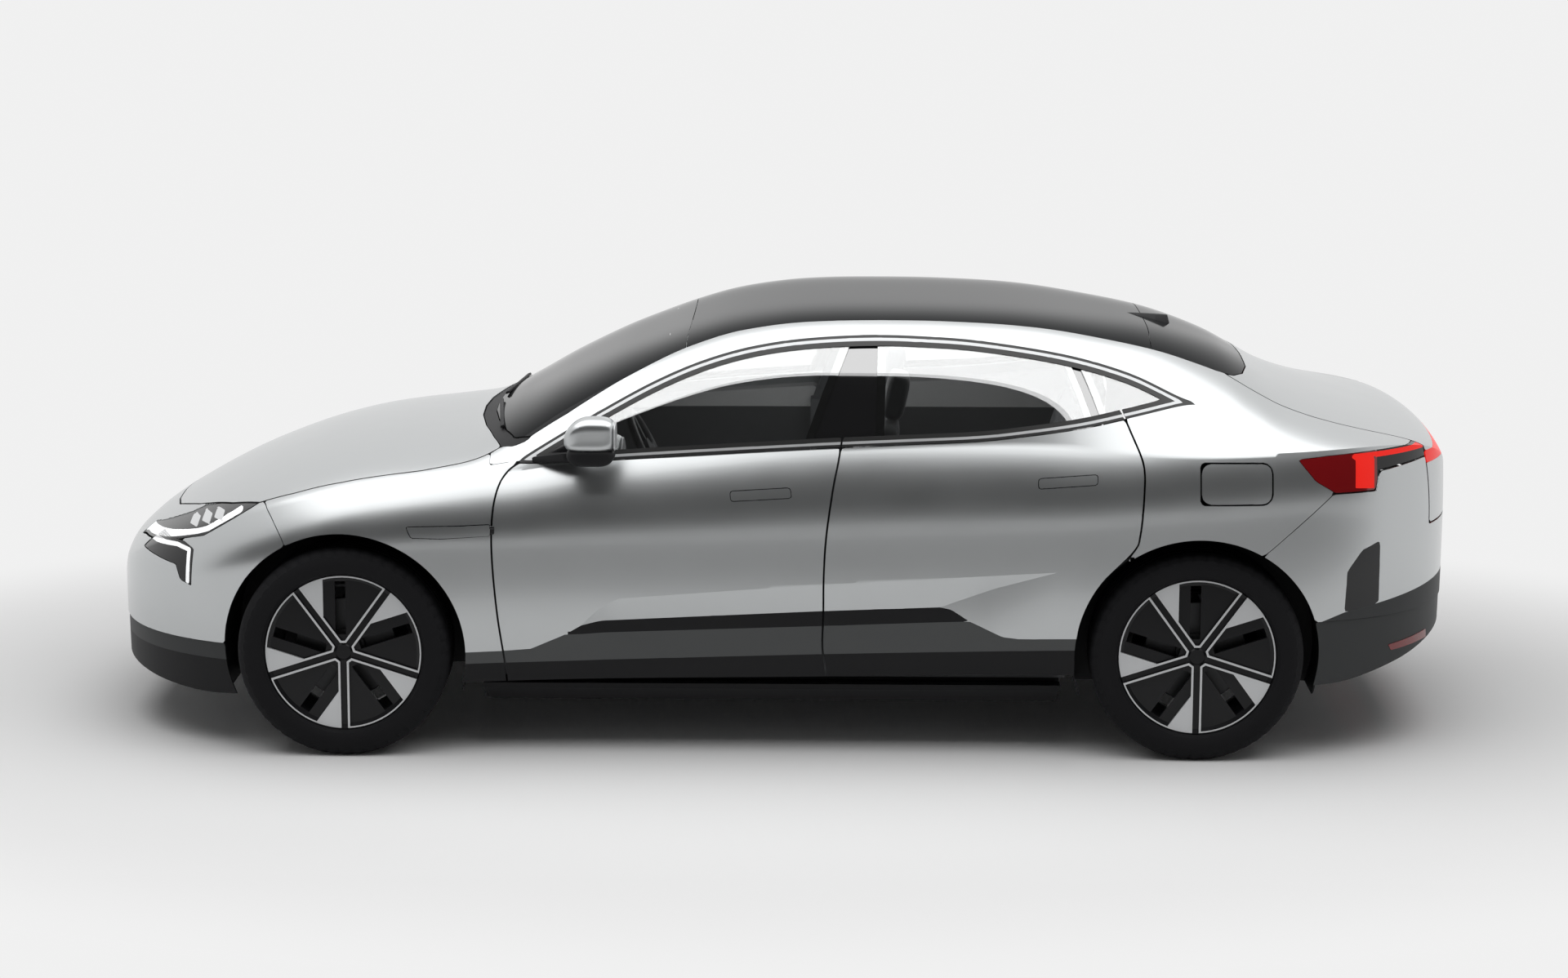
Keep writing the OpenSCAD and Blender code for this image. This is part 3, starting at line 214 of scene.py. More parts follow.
SEAL = Finish("rubber_seal", "dark_trim", (0.010, 0.010, 0.010), 0.45, tint=0.3, scale=900)
ALLOY = Finish("machined_alloy", "alloy", (0.66, 0.67, 0.68), 0.38, 0.55, tint=0.06, scale=1200, bump=0.06,
               bump_depth=0.0001)
BARREL = Finish("dark_alloy", "alloy", (0.045, 0.046, 0.048), 0.42, 0.4, tint=0.15, scale=1200)
STEEL = Finish("bare_steel", "steel", (0.42, 0.43, 0.44), 0.4, 0.9, tint=0.25, scale=240, bump=0.1)
STRUCTURE = Finish("coated_steel", "structure", (0.085, 0.088, 0.092), 0.55, 0.2, tint=0.25, scale=500,
                   bump=0.12)
BATTERY = Finish("battery_shell", "battery_case", (0.10, 0.105, 0.11), 0.5, 0.5, tint=0.2, scale=300,
                 bump=0.1)
CABIN = Finish("cabin_moulding", "cabin_plastic", (0.040, 0.041, 0.043), 0.55, tint=0.3, scale=1600,
               bump=0.35)
CABIN_GREY = Finish("cabin_grey", "cabin_plastic", (0.42, 0.42, 0.42), 0.6, tint=0.2, scale=1600, bump=0.3)
CLOTH = Finish("seat_cloth", "upholstery", (0.060, 0.062, 0.066), 0.85, tint=0.7, scale=900, bump=0.6,
               sheen=0.3)
LAMP_DARK = Finish("lamp_housing", "lamp_clear", (0.020, 0.021, 0.022), 0.2, tint=0.2)
LAMP_WHITE = Finish("lamp_white", "lamp_clear", (0.93, 0.94, 0.95), 0.25, glow=0.55, tint=0.03)
LAMP_CHROME = Finish("lamp_chrome", "lamp_clear", (0.80, 0.81, 0.82), 0.12, 1.0, tint=0.03)
RED_LENS = Finish("red_lens", "lamp_red", (0.22, 0.006, 0.008), 0.10, coat=0.5, tint=0.1)
RED_GLOW = Finish("red_glow", "lamp_red", (0.72, 0.018, 0.012), 0.3, ior=1.3, glow=0.6, tint=0.05)
# What the strip, the cladding and the lower band along the sides are finished in.
LOW_FINISHES = (BLACK_TRIM, CLADDING, BLACK_TRIM)


@dataclass(frozen=True)
class Curve:
    """A smooth curve through [x, value] pairs in rising x, in millimetres."""
    points: Points

    def at(self, x: np.ndarray) -> np.ndarray:
        """Reads the curve.

        Args:
            x: Places along the car, in millimetres.

        Returns:
            The curve's value at each place.
        """
        px, pv = np.array(self.points, float).T
        slope = np.empty_like(pv)
        slope[1:-1] = (pv[2:] - pv[:-2]) / (px[2:] - px[:-2])
        slope[0], slope[-1] = (pv[1] - pv[0]) / (px[1] - px[0]), (pv[-1] - pv[-2]) / (px[-1] - px[-2])
        i = np.clip(np.searchsorted(px, x, side="right") - 1, 0, len(px) - 2)
        h = px[i + 1] - px[i]
        t = np.clip((x - px[i]) / h, 0, 1)
        return ((2 * t**3 - 3 * t**2 + 1) * pv[i] + (t**3 - 2 * t**2 + t) * slope[i] * h
                + (3 * t**2 - 2 * t**3) * pv[i + 1] + (t**3 - t**2) * slope[i + 1] * h)


@dataclass(frozen=True)
class BodySurface:
    """The car's outer surface: a half section that changes along the car, in millimetres."""
    nose: float = -2420.0
    tail: float = 2420.0
    nose_round: float = -1350.0
    tail_round: float = 1300.0
    nose_blunt: float = 2.7
    tail_blunt: float = 3.2
    end_share: float = 0.995
    shoulder: float = 2.2
    side_run: float = 880.0
    crown_run: float = 1150.0
    side_rows: int = 60
    crown_rows: int = 90
    fine_steps: int = 4001
    centre_z: Curve = Curve((
        (-2420, 610), (-2385, 655), (-2300, 730), (-2180, 806), (-2009, 896), (-1850, 962), (-1699, 1012),
        (-1540, 1048), (-1393, 1070), (-1200, 1088), (-1080, 1104), (-940, 1172), (-781, 1258), (-600, 1344),
        (-477, 1393), (-330, 1446), (-177, 1490), (0, 1519), (160, 1531), (357, 1534), (600, 1531),
        (889, 1515), (1194, 1474), (1347, 1446), (1469, 1412), (1592, 1366), (1690, 1314), (1792, 1258),
        (1961, 1197), (2150, 1145), (2250, 1120), (2330, 1092), (2385, 1045), (2410, 985), (2420, 920)))
    waist_z: Curve = Curve((
        (-2420, 565), (-2385, 598), (-2300, 658), (-2180, 722), (-2009, 798), (-1850, 856), (-1699, 902),
        (-1540, 940), (-1300, 972), (-1080, 994), (-930, 1010), (-720, 1040), (-290, 1068), (137, 1094),
        (707, 1118), (1000, 1116), (1217, 1098), (1474, 1092), (1800, 1102), (2100, 1106), (2250, 1090),
        (2330, 1060), (2385, 1012), (2410, 955), (2420, 900)))
    waist_y: Curve = Curve((
        (-2420, 850), (-2009, 866), (-1540, 890), (-1080, 880), (-720, 872), (137, 880), (707, 884),
        (1000, 900), (1217, 926), (1474, 950), (1800, 950), (2100, 925), (2420, 890)))
    wide_z: Curve = Curve((
        (-2420, 520), (-1900, 640), (-1525, 720), (-900, 740), (0, 760), (900, 800), (1474, 850),
        (2000, 860), (2420, 760)))
    wide_y: Curve = Curve((
        (-2420, 940), (-2009, 965), (-1525, 985), (-1000, 972), (0, 964), (700, 972), (1474, 1004),
        (2000, 990), (2420, 960)))
    sill_z: Curve = Curve((
        (-2420, 240), (-2200, 205), (-1990, 195), (-1080, 262), (180, 288), (1060, 300), (1920, 262),
        (2200, 318), (2420, 400)))
    sill_y: Curve = Curve((
        (-2420, 890), (-1525, 940), (-1000, 912), (0, 905), (900, 915), (1474, 950), (2420, 900)))
    crown_y: Curve = Curve((
        (-2420, 640), (-1540, 720), (-1080, 790), (-720, 770), (-330, 745), (160, 735), (889, 715),
        (1300, 680), (1600, 640), (1961, 660), (2420, 700)))
    crown_square: Curve = Curve((
        (-2420, 1.9), (-1540, 2.0), (-1080, 2.2), (-780, 3.6), (-330, 5.2), (160, 5.6), (889, 5.4),
        (1300, 4.2), (1700, 2.7), (2100, 2.0), (2420, 2.0)))

    def plan_share(self, x: np.ndarray) -> np.ndarray:
        """How much of its full width the car has at x, seen from above.

        Args:
            x: Places along the car.

        Returns:
            A share from 0 to 1 for each place.
        """
        nose = np.clip(self.end_share * (self.nose_round - x) / (self.nose_round - self.nose), 0, 1)
        tail = np.clip(self.end_share * (x - self.tail_round) / (self.tail - self.tail_round), 0, 1)
        return ((1 - nose**self.nose_blunt)**(1 / self.nose_blunt)
                * (1 - tail**self.tail_blunt)**(1 / self.tail_blunt))

    def side_y(self, x: np.ndarray, z: np.ndarray) -> np.ndarray:
        """Half width of the side at height z, from the lower edge to the waist.

        Args:
            x: Places along the car.
            z: Heights there.

        Returns:
            The half width at each point.
        """
        zw, zt, zs, yw = self.wide_z.at(x), self.waist_z.at(x), self.sill_z.at(x), self.wide_y.at(x)
        up = np.clip((z - zw) / np.maximum(zt - zw, 1), 0, None)**self.shoulder
        down = np.clip((zw - z) / np.maximum(zw - zs, 1), 0, None)**2
        return self.plan_share(x) * (yw - (yw - self.waist_y.at(x)) * up - (yw - self.sill_y.at(x)) * down)

    def half_sections(self, x: np.ndarray, low: int, high: int) -> np.ndarray:
        """Sections from the lower edge to the middle of the roof.

        Args:
            x: Places along the car.
            low: Steps up to the waist.
            high: Steps from the waist to the middle.

        Returns:
            Half width and height of each point, one row of low + high + 1 points for each place.
        """
        column = x[:, None]
        zs, zt, zc = (c.at(x)[:, None] for c in (self.sill_z, self.waist_z, self.centre_z))
        z = zs + (zt - zs) * np.linspace(0, 1, self.side_rows)[None]
        lower = np.stack([self.side_y(column, z), z], -1)
        square = self.crown_square.at(x)[:, None]
        even = np.linspace(0, 1, self.crown_rows)[None]
        bent = even**(square / 2)
        angle = np.sort(np.concatenate([np.arcsin(bent), np.arccos(bent)], 1), 1)
        share = np.sin(angle)**(2 / square)
        yt, yc = self.side_y(column, zt), self.plan_share(column) * self.crown_y.at(column)
        half_width = (yt + (yc - yt) * share) * np.cos(angle)**(2 / square)
        upper = np.stack([half_width, zt + (zc - zt) * share], -1)
        return np.concatenate([_evened(lower, low), _evened(upper, high)[:, 1:]], 1)

    def along_car(self, x: float) -> float:
        """A measure along the car whose equal steps crowd together at nose and tail.

        Args:
            x: A place along the car.

        Returns:
            The measure there.
        """
        first, last = self._ends()
        quarter = math.pi / 2
        reach = quarter * (self.nose_round - first)
        if x < self.nose_round:
            return math.acos(max(1 - (x - first) / (self.nose_round - first), 0)) / quarter * reach
        middle = reach + min(x, self.tail_round) - self.nose_round
        if x <= self.tail_round:
            return middle
        turn = math.acos(max(1 - (last - x) / (last - self.tail_round), 0)) / quarter
        return middle + quarter * (last - self.tail_round) * (1 - turn)

    def _ends(self) -> tuple[float, float]:
        """Where nose and tail would close to a point."""
        return (self.nose_round - (self.nose_round - self.nose) / self.end_share,
                self.tail_round + (self.tail - self.tail_round) / self.end_share)

    def stations(self, start: float, end: float, steps: int) -> np.ndarray:
        """Places along the car, closer together at nose and tail.

        Args:
            start: First place.
            end: Last place.
            steps: Number of steps between them.

        Returns:
            The places in millimetres.
        """
        fine = np.linspace(*self._ends(), self.fine_steps)
        measure = np.array([self.along_car(x) for x in fine])
        wanted = np.linspace(self.along_car(start), self.along_car(end), steps + 1)
        return np.interp(wanted, measure, fine)

    def sheet(self, start: float, end: float, low: float, high: float, pitch: float = 15.0,
              across: bool = False) -> Mesh:
        """Makes a fine sheet of the surface, left side only or right across the car.

        Args:
            start: Foremost place in millimetres.
            end: Rearmost place.
            low: Lowest edge as a share, 0 at the lower edge, 1 at the waist, 2 in the middle of the roof.
            high: Highest edge as a share, for a sheet of one side.
            pitch: Size of a cell in millimetres.
            across: Whether the sheet goes on over the middle to the same edge of the other side.

        Returns:
            The sheet, its faces pointing out of the car.
        """
        columns = max(int(abs(self.along_car(end) - self.along_car(start)) / pitch), 4)
        places = self.stations(start, end, columns)
        steps_low, steps_high = int(self.side_run / pitch), int(self.crown_run / pitch)
        half = self.half_sections(places, steps_low, steps_high)
        first, last = (int(round(s * steps_low)) if s <= WAIST
                       else steps_low + int(round((s - WAIST) * steps_high))
                       for s in (low, CROWN if across else high))
        part = half[:, first:last + 1]
        left = part * (-1, 1)
        rows = np.concatenate([left, part[:, -2::-1]], 1) if across else left
        sheet = bmesh.new()
        bmesh.ops.create_grid(sheet, x_segments=columns, y_segments=rows.shape[1] - 1, size=0.5)
        for vert in sheet.verts:
            i = int(round((vert.co.x + 0.5) * columns))
            j = int(round((vert.co.y + 0.5) * (rows.shape[1] - 1)))
            x = min(max(places[i], self.nose), self.tail)
            vert.co = Vector((x, *rows[i, j])) * MM
        if across:
            self.close_end(sheet)
        face_out(sheet)
        return sheet

    def close_end(self, sheet: Mesh) -> None:
        """Closes a sheet across the car with a flat face where it reaches the nose or the tail.

        Args:
            sheet: The sheet.
        """
        ends = [e for e in sheet.edges if e.is_boundary and (
            all(v.co.x < (self.nose + 0.1) * MM for v in e.verts) or
            all(v.co.x > (self.tail - 0.1) * MM for v in e.verts))]
        for part in bmesh.ops.extrude_edge_only(sheet, edges=ends)["geom"] if ends else ():
            if isinstance(part, Vert):
                part.co.y = 0
        bmesh.ops.remove_doubles(sheet, verts=sheet.verts, dist=0.05 * MM)

    def z_at(self, x: float, y: float) -> float:
        """Height of the upper surface in millimetres, at a place along the car and across it."""
        half = self.half_sections(np.array([x]), 60, 400)[0, 60:]
        return float(np.interp(abs(y), half[::-1, 0], half[::-1, 1]))

    def y_at(self, x: float, z: float) -> float:
        """Half width in millimetres, at a place along the car and a height."""
        half = self.half_sections(np.array([x]), 200, 400)[0]
        return float(np.interp(z, half[:, 1], half[:, 0]))


def _evened(lines: np.ndarray, steps: int) -> np.ndarray:
    """Spreads each line's points evenly along it.

    Args:
        lines: Rows of points.
        steps: Number of steps wanted.

    Returns:
        Rows of steps + 1 points.
    """
    rows = []
    for line in lines:
        run = np.concatenate([[0], np.cumsum(np.hypot(*np.diff(line, axis=0).T))])
        want = np.linspace(0, run[-1], steps + 1)
        rows.append(np.stack([np.interp(want, run, line[:, k]) for k in (0, 1)], -1))
    return np.array(rows)


BODY = BodySurface()


def rounded(points: Points, steps: int = 6) -> list[tuple[float, float]]:
    """A smooth line through points, the last point left off.

    Args:
        points: The points.
        steps: Steps from one point to the next.

    Returns:
        The line's points.
    """
    p = [np.array(q, float) for q in points]
    line = []
    for i in range(len(p) - 1):
        a, b, c, d = p[max(i - 1, 0)], p[i], p[i + 1], p[min(i + 2, len(p) - 1)]
        for k in range(steps):
            t = k / steps
            line.append(tuple(0.5 * (2 * b + (c - a) * t + (2 * a - 5 * b + 4 * c - d) * t**2
                                     + (3 * b - a - 3 * c + d) * t**3)))
    return line


def distance(p: np.ndarray, starts: np.ndarray, ends: np.ndarray) -> np.ndarray:
    """Distance from points to the nearest of some straight runs.

    Args:
        p: The points, one a row.
        starts: Where the runs start.
        ends: Where they end.

    Returns:
        One distance for each point.
    """
    best = np.full(len(p), FAR)
    for start, end in zip(starts, ends):
        run = end - start
        if run.any():
            t = np.clip(((p - start) @ run) / (run @ run), 0, 1)
            best = np.minimum(best, np.hypot(*(p - start - t[:, None] * run).T))
    return best


@dataclass(frozen=True)
class Outline:
    """A closed outline in the side view (x, z) or seen from above (x, y), in millimetres."""
    points: Points
    plan: bool = False

    def level(self, at: np.ndarray) -> np.ndarray:
        """Distance to the outline in metres, negative inside.

        Args:
            at: Points in metres, one a row.

        Returns:
            One distance for each point.
        """
        p = at[:, [0, 1]] if self.plan else at[:, [0, 2]]
        starts = np.array(self.points, float) * MM
        ends = np.roll(starts, -1, axis=0)
        within = np.zeros(len(p), bool)
        for (ax, ay), (bx, by) in zip(starts, ends):
            if by != ay:
                crosses = (ay > p[:, 1]) != (by > p[:, 1])
                within ^= crosses & (p[:, 0] < (bx - ax) * (p[:, 1] - ay) / (by - ay) + ax)
        best = distance(p, starts, ends)
        return np.where(within, -best, best)


def inside(outline: Outline, inset: float = 0.0) -> Level:
    """Keeps what lies inside an outline, shrunk by an inset in millimetres."""
    return lambda at: outline.level(at) + inset * MM


def outside(outline: Outline, margin: float = 0.0) -> Level:
    """Keeps what lies outside an outline, grown by a margin in millimetres."""
    return lambda at: margin * MM - outline.level(at)


def all_of(*levels: Level) -> Level:
    """Keeps what every level keeps."""
    return lambda at: np.max([level(at) for level in levels], axis=0)


def any_of(*levels: Level) -> Level:
    """Keeps what one of the levels keeps."""
    return lambda at: np.min([level(at) for level in levels], axis=0)


def above(height: float) -> Level:
    """Keeps what lies above a height in millimetres."""
    return lambda at: height * MM - at[:, 2]


def below(height: float) -> Level:
    """Keeps what lies below a height in millimetres."""
    return lambda at: at[:, 2] - height * MM


def beyond(half_width: float) -> Level:
    """Keeps what lies further from the middle plane than a distance in millimetres."""
    return lambda at: half_width * MM - np.abs(at[:, 1])


def aft(place: float) -> Level:
    """Keeps what lies behind a place along the car in millimetres."""
    return lambda at: place * MM - at[:, 0]


def along(points: Points, half_width: float) -> Level:
    """Keeps a band along an open line in the side view, in millimetres."""
    line = np.array(points, float) * MM
    return lambda at: distance(at[:, [0, 2]], line[:-1], line[1:]) - half_width * MM


def opposite(level: Level) -> Level:
    """Keeps what a level cuts away."""
    return lambda at: -level(at)


def softened(corners: Points, radius: float) -> list[tuple[float, float]]:
    """A closed outline with its corners rounded by a radius in millimetres.

    Args:
        corners: The corners in order.
        radius: How far from a corner its rounding starts.

    Returns:
        The outline's points.
    """
    points = [Vector(c) for c in corners]
    line = []
    for before, corner, after in zip([points[-1], *points[:-1]], points, [*points[1:], points[0]]):
        a = corner + (before - corner).normalized() * radius
        b = corner + (after - corner).normalized() * radius
        line.extend(tuple(a.lerp(corner, t).lerp(corner.lerp(b, t), t)) for t in (0, 0.25, 0.5, 0.75, 1))
    return line


def arch(axle: Axle, radius: float = 430.0) -> Level:
    """Keeps what lies outside a wheel arch."""
    return lambda at: radius * MM - np.hypot(at[:, 0] - axle.value, at[:, 2] - AXLE_Z)


class Lines:
    """The shut lines and outlines of the panels, in millimetres."""
    window_low = ((-905, 1040), (-720, 1046), (-290, 1074), (137, 1100), (420, 1114), (700, 1128),
                  (880, 1148), (1060, 1174), (1217, 1206), (1400, 1243), (1482, 1246))
    window_high = ((-905, 1048), (-866, 1074), (-734, 1152), (-589, 1234), (-443, 1310), (-299, 1372),
                   (-154, 1418), (-10, 1447), (134, 1463), (307, 1471), (480, 1469), (711, 1454),
                   (999, 1411), (1231, 1348), (1405, 1272), (1482, 1246))
    front_door = ((-906, 1040), (-942, 1014), (-972, 970), (-990, 900), (-996, 800), (-992, 670),
                  (-978, 500), (-956, 322), (-950, 200))
    middle = ((228, 1145), (214, 1060), (194, 960), (172, 800), (164, 660), (163, 520), (160, 400),
              (172, 300), (176, 200))
    rear_door = ((1196, 1240), (1232, 1160), (1272, 1060), (1274, 960), (1262, 820), (1240, 760),
                 (1130, 640), (1070, 520), (1050, 400), (1050, 200))
    front_pane_rear = ((262, 1500), (258, 1460), (185, 1280), (118, 1100), (100, 1050))
    rear_pane_front = ((352, 1500), (350, 1460), (346, 1280), (342, 1100), (342, 1050))
    rear_pane_rear = ((1000, 1460), (1011, 1411), (1060, 1300), (1104, 1186), (1120, 1140))
    quarter_front = ((1030, 1460), (1041, 1411), (1090, 1300), (1134, 1186), (1150, 1140))
    bonnet = ((-2232, 0), (-2224, 184), (-2203, 299), (-2152, 397), (-2096, 494), (-2053, 552), (-1943, 691),
              (-1831, 794), (-1700, 824), (-1540, 838), (-1250, 828), (-1040, 792), (-975, 772),
              (-1010, 650), (-1060, 420), (-1092, 200), (-1100, 0))
    screen = ((-1052, 0), (-1044, 200), (-1014, 420), (-968, 640), (-930, 748), (-870, 786), (-740, 752),
              (-564, 692), (-400, 640), (-330, 622), (-325, 300), (-324, 0))
    roof = ((-324, 0), (-325, 300), (-330, 622), (-156, 598), (0, 591), (351, 586), (858, 585), (1003, 581),
            (1322, 570), (1330, 300), (1332, 0))
    rear_panel = ((1332, 0), (1330, 300), (1322, 570), (1450, 562), (1560, 550), (1620, 520), (1660, 440),
                  (1686, 300), (1694, 0))
    tailgate = ((1694, 0), (1686, 300), (1660, 440), (1620, 520), (1590, 545), (1700, 572), (1900, 612),
                (2100, 640), (2300, 652), (2460, 656), (2460, 0))
    cowl = ((-1100, 0), (-1092, 200), (-1060, 420), (-1010, 650), (-975, 772), (-930, 800), (-880, 800),
            (-868, 784), (-930, 748), (-968, 640), (-1014, 420), (-1044, 200), (-1052, 0))
    upper_lamp = ((-2410, 640), (-2290, 716), (-2118, 795), (-2060, 824), (-1940, 862), (-1826, 884),
                  (-2032, 760), (-2314, 684))
    lower_lamp = ((-2330, 735), (-2110, 728), (-2070, 712), (-2078, 585), (-2120, 600), (-2140, 650),
                  (-2330, 672))
    front_bumper = ((-2500, 850), (-2330, 850), (-2160, 850), (-1990, 868), (-1830, 886), (-1790, 862),
                    (-1735, 780), (-1700, 700))
    tail_lamp = ((1809, 1078), (1911, 1086), (2077, 1093), (2282, 1098), (2460, 1092), (2460, 1056),
                 (2286, 1046), (2102, 1028), (2090, 960), (1943, 960), (1872, 1003))
    rear_bumper = ((1660, 720), (1720, 768), (1935, 956), (2093, 956), (2105, 1022), (2286, 1042),
                   (2500, 1054))
    flap = ((1470, 928), (1718, 1068))
    flap_round = 34
    strip = ((-743, 443), (-686, 477), (-622, 491), (140, 529), (572, 547), (611, 539), (676, 497),
             (140, 475))
    cladding = ((-1120, 374), (-980, 380), (-865, 389), (-743, 443), (140, 475), (676, 497), (792, 442),
                (853, 435), (1060, 439), (1060, 396), (140, 372), (-1120, 331))
    sill_band = ((-1120, 331), (140, 372), (1060, 396), (1060, 100), (-1120, 100))
    handles = {Axle.FRONT: ((-166, 958), (47, 971), (53, 933), (-163, 920)),
               Axle.REAR: ((907, 1010), (1116, 1027), (1115, 989), (907, 972))}
    blade = ((-1293, 829), (-1114, 832), (-1000, 838), (-1000, 801), (-1171, 790), (-1276, 793))
    sail = ((-920, 980), (-690, 1030), (-600, 1250), (-920, 1250))
    headlamp_bar = ((-2399, 652), (-2314, 698), (-2060, 768), (-2020, 782), (-1900, 853))
    lower_bar = ((-2345, 694), (-2140, 714), (-2088, 706), (-2092, 596))
    brake_block = ((2016, 1069), (2086, 1071), (2085, 966), (2015, 972))
    brake_bar = ((2012, 1078), (2102, 1080), (2286, 1084), (2440, 1064))
    bumper_slot = ((1989, 529), (1994, 678), (2046, 750), (2113, 778), (2117, 551))
    tail_low = ((1880, 490), (1989, 529), (2117, 551), (2330, 585), (2440, 600), (2440, 480), (1880, 480))
    reflector = ((2165, 385), (2326, 403), (2329, 370), (2177, 361))
    tailgate_low = 800
    front_valance = 388
    rear_valance = 500
    light_bar = (1018, 1062)

    @staticmethod
    def mirrored(edge: Points) -> Outline:
        """A plan outline from its left half."""
        return Outline([*edge, *((x, -y) for x, y in reversed(edge))], plan=True)

    @classmethod
    def windows(cls) -> Outline:
        """The whole side window opening."""
        return Outline([*rounded(cls.window_low), (1482, 1246), *reversed(rounded(cls.window_high))])

    @classmethod
    def under_windows(cls) -> Outline:
        """Everything under the windows."""
        return Outline([*rounded(cls.window_low), (1482, 1246), (1482, 50), (-2400, 50), (-2400, 1040)])

    @classmethod
    def low_zones(cls) -> tuple[Level, ...]:
        """Black strip, grey cladding and dark lower band along the sides."""
        return tuple(inside(Outline(zone)) for zone in (cls.strip, cls.cladding, cls.sill_band))

    @classmethod
    def belt(cls) -> Level:
        """A band along the lower edge of the windows."""
        return along([*rounded(cls.window_low), (1482, 1246)], 34)

    @staticmethod
    def between(front: Points, rear: Points) -> Outline:
        """What lies between two lines that run from top to bottom."""
        return Outline([(front[0][0], 1700), *rounded(front), (front[-1][0], 50), (rear[-1][0], 50),
                        *reversed(rounded(rear)), (rear[0][0], 1700)])

    @classmethod
    def behind(cls, line: Points) -> Outline:
        """What lies behind a line that runs from top to bottom."""
        return cls.between(line, [(2480, z) for _, z in line])

    @classmethod
    def ahead(cls, line: Points) -> Outline:
        """What lies ahead of a line that runs from top to bottom."""
        return cls.between([(-2480, z) for _, z in line], line)

    @classmethod
    def front_bumper_zone(cls) -> Outline:
        """The nose below the bumper's upper joint."""
        return Outline([*rounded(cls.front_bumper), (-1700, 50), (-2500, 50)])

    @classmethod
    def rear_bumper_zone(cls) -> Outline:
        """The tail below the bumper's upper joint."""
        return Outline([*cls.rear_bumper, (2500, 50), (1660, 50)])

    @classmethod
    def flap_zone(cls, front: float = 12) -> Outline:
        """The charging flap's opening; its corners at the hinge are tight so that the flap swings clear.

        Args:
            front: Radius of the corners at the hinge, in millimetres.

        Returns:
            The outline.
        """
        (x0, z0), (x1, z1), r, q = *cls.flap, cls.flap_round, front
        corners = [(x1 - r, z0 + r, r, -90), (x1 - r, z1 - r, r, 0), (x0 + q, z1 - q, q, 90),
                   (x0 + q, z0 + q, q, 180)]
        return Outline([(x + c * math.cos(math.radians(a + k)), z + c * math.sin(math.radians(a + k)))
                        for x, z, c, a in corners for k in (0, 30, 60, 90)])

    @classmethod
    def tailgate_keep(cls, inset: float) -> Level:
        """The tailgate's zone, shrunk by an inset."""
        return all_of(inside(cls.mirrored(cls.tailgate), inset), above(cls.tailgate_low + inset))

    @classmethod
    def tailgate_leave(cls, margin: float) -> Level:
        """What lies outside the tailgate's zone."""
        return any_of(outside(cls.mirrored(cls.tailgate), margin), below(cls.tailgate_low - margin))


def face_out(mesh: Mesh) -> None:
    """Turns an open sheet of the body so that its faces point out of the car.

    Args:
        mesh: The sheet.
    """
    mesh.normal_update()
    centre = Vector((0, 0, 0.7))
    lean = 0.0
    for face in mesh.faces:
        out = face.calc_center_median() - centre
        out.x = 0
        lean += face.normal.dot(out) * face.calc_area()
    if lean < 0:
        bmesh.ops.reverse_faces(mesh, faces=mesh.faces)
        mesh.normal_update()


def score(mesh: Mesh, level: Level, snap: float = 0.0006) -> dict[Vert, float]:
    """Cuts a mesh along the zero line of a level and takes nothing away.

    Args:
        mesh: The mesh.
        level: The level whose zero line becomes edges.
        snap: How near a vertex counts as on the line, in metres.

    Returns:
        The level at every vertex.
    """
    verts = list(mesh.verts)
    values = dict(zip(verts, level(np.array([v.co for v in verts])).tolist()))
    for vert, value in values.items():
        if abs(value) < snap:
            values[vert] = 0.0
    for edge in list(mesh.edges):
        a, b = edge.verts
        if values[a] * values[b] < 0:
            _, new = bmesh.utils.edge_split(edge, a, values[a] / (values[a] - values[b]))
            values[new] = 0.0
    for face in list(mesh.faces):
        signs = [values[v] for v in face.verts]
        if min(signs) < 0 < max(signs):
            on_line = [v for v in face.verts if values[v] == 0.0]
            if len(on_line) == 2:
                bmesh.utils.face_split(face, on_line[0], on_line[1])
    return values


def trim(mesh: Mesh, keep: Level) -> None:
    """Cuts a sheet along the zero line of a level and deletes what lies outside.

    Args:
        mesh: The sheet.
        keep: Negative where the sheet stays.
    """
    values = score(mesh, keep)
    gone = [f for f in mesh.faces if sum(values[v] for v in f.verts) > 0]
    bmesh.ops.delete(mesh, geom=gone, context="FACES")
    bmesh.ops.delete(mesh, geom=[v for v in mesh.verts if not v.link_faces], context="VERTS")
    mesh.normal_update()


def zoned(mesh: Mesh, *zones: Level) -> Mesh:
    """Gives each zone of a mesh the finish of its number, cut along the zone's edge.

    Args:
        mesh: The mesh.
        zones: The zones; the first takes the first extra finish.

    Returns:
        The same mesh.
    """
    for number, zone in enumerate(zones, 1):
        score(mesh, zone)
        faces = list(mesh.faces)
        for face, value in zip(faces, zone(np.array([f.calc_center_median() for f in faces]))):
            if value < 0:
                face.material_index = number
    return mesh


def sink(mesh: Mesh, depth: float) -> None:
    """Moves a sheet into the car along its normals, by a depth in millimetres.

    Args:
        mesh: The sheet.
        depth: How far it is moved; negative to move it out.
    """
    mesh.normal_update()
    for vert in mesh.verts:
        vert.co -= vert.normal * depth * MM


def reflect(mesh: Mesh) -> None:
    """Turns a left-hand piece into a right-hand one.

    Args:
        mesh: The piece.
    """
    bmesh.ops.scale(mesh, vec=(1, -1, 1), verts=mesh.verts)
    bmesh.ops.reverse_faces(mesh, faces=mesh.faces)
    mesh.normal_update()


def handed(mesh: Mesh, side: Side) -> Mesh:
    """A left-hand piece as it is, or turned over for the right-hand side.

    Args:
        mesh: The left-hand piece.
        side: The side that it is for.

    Returns:
        The same mesh.
    """
    if side is Side.RIGHT:
        reflect(mesh)
    return mesh


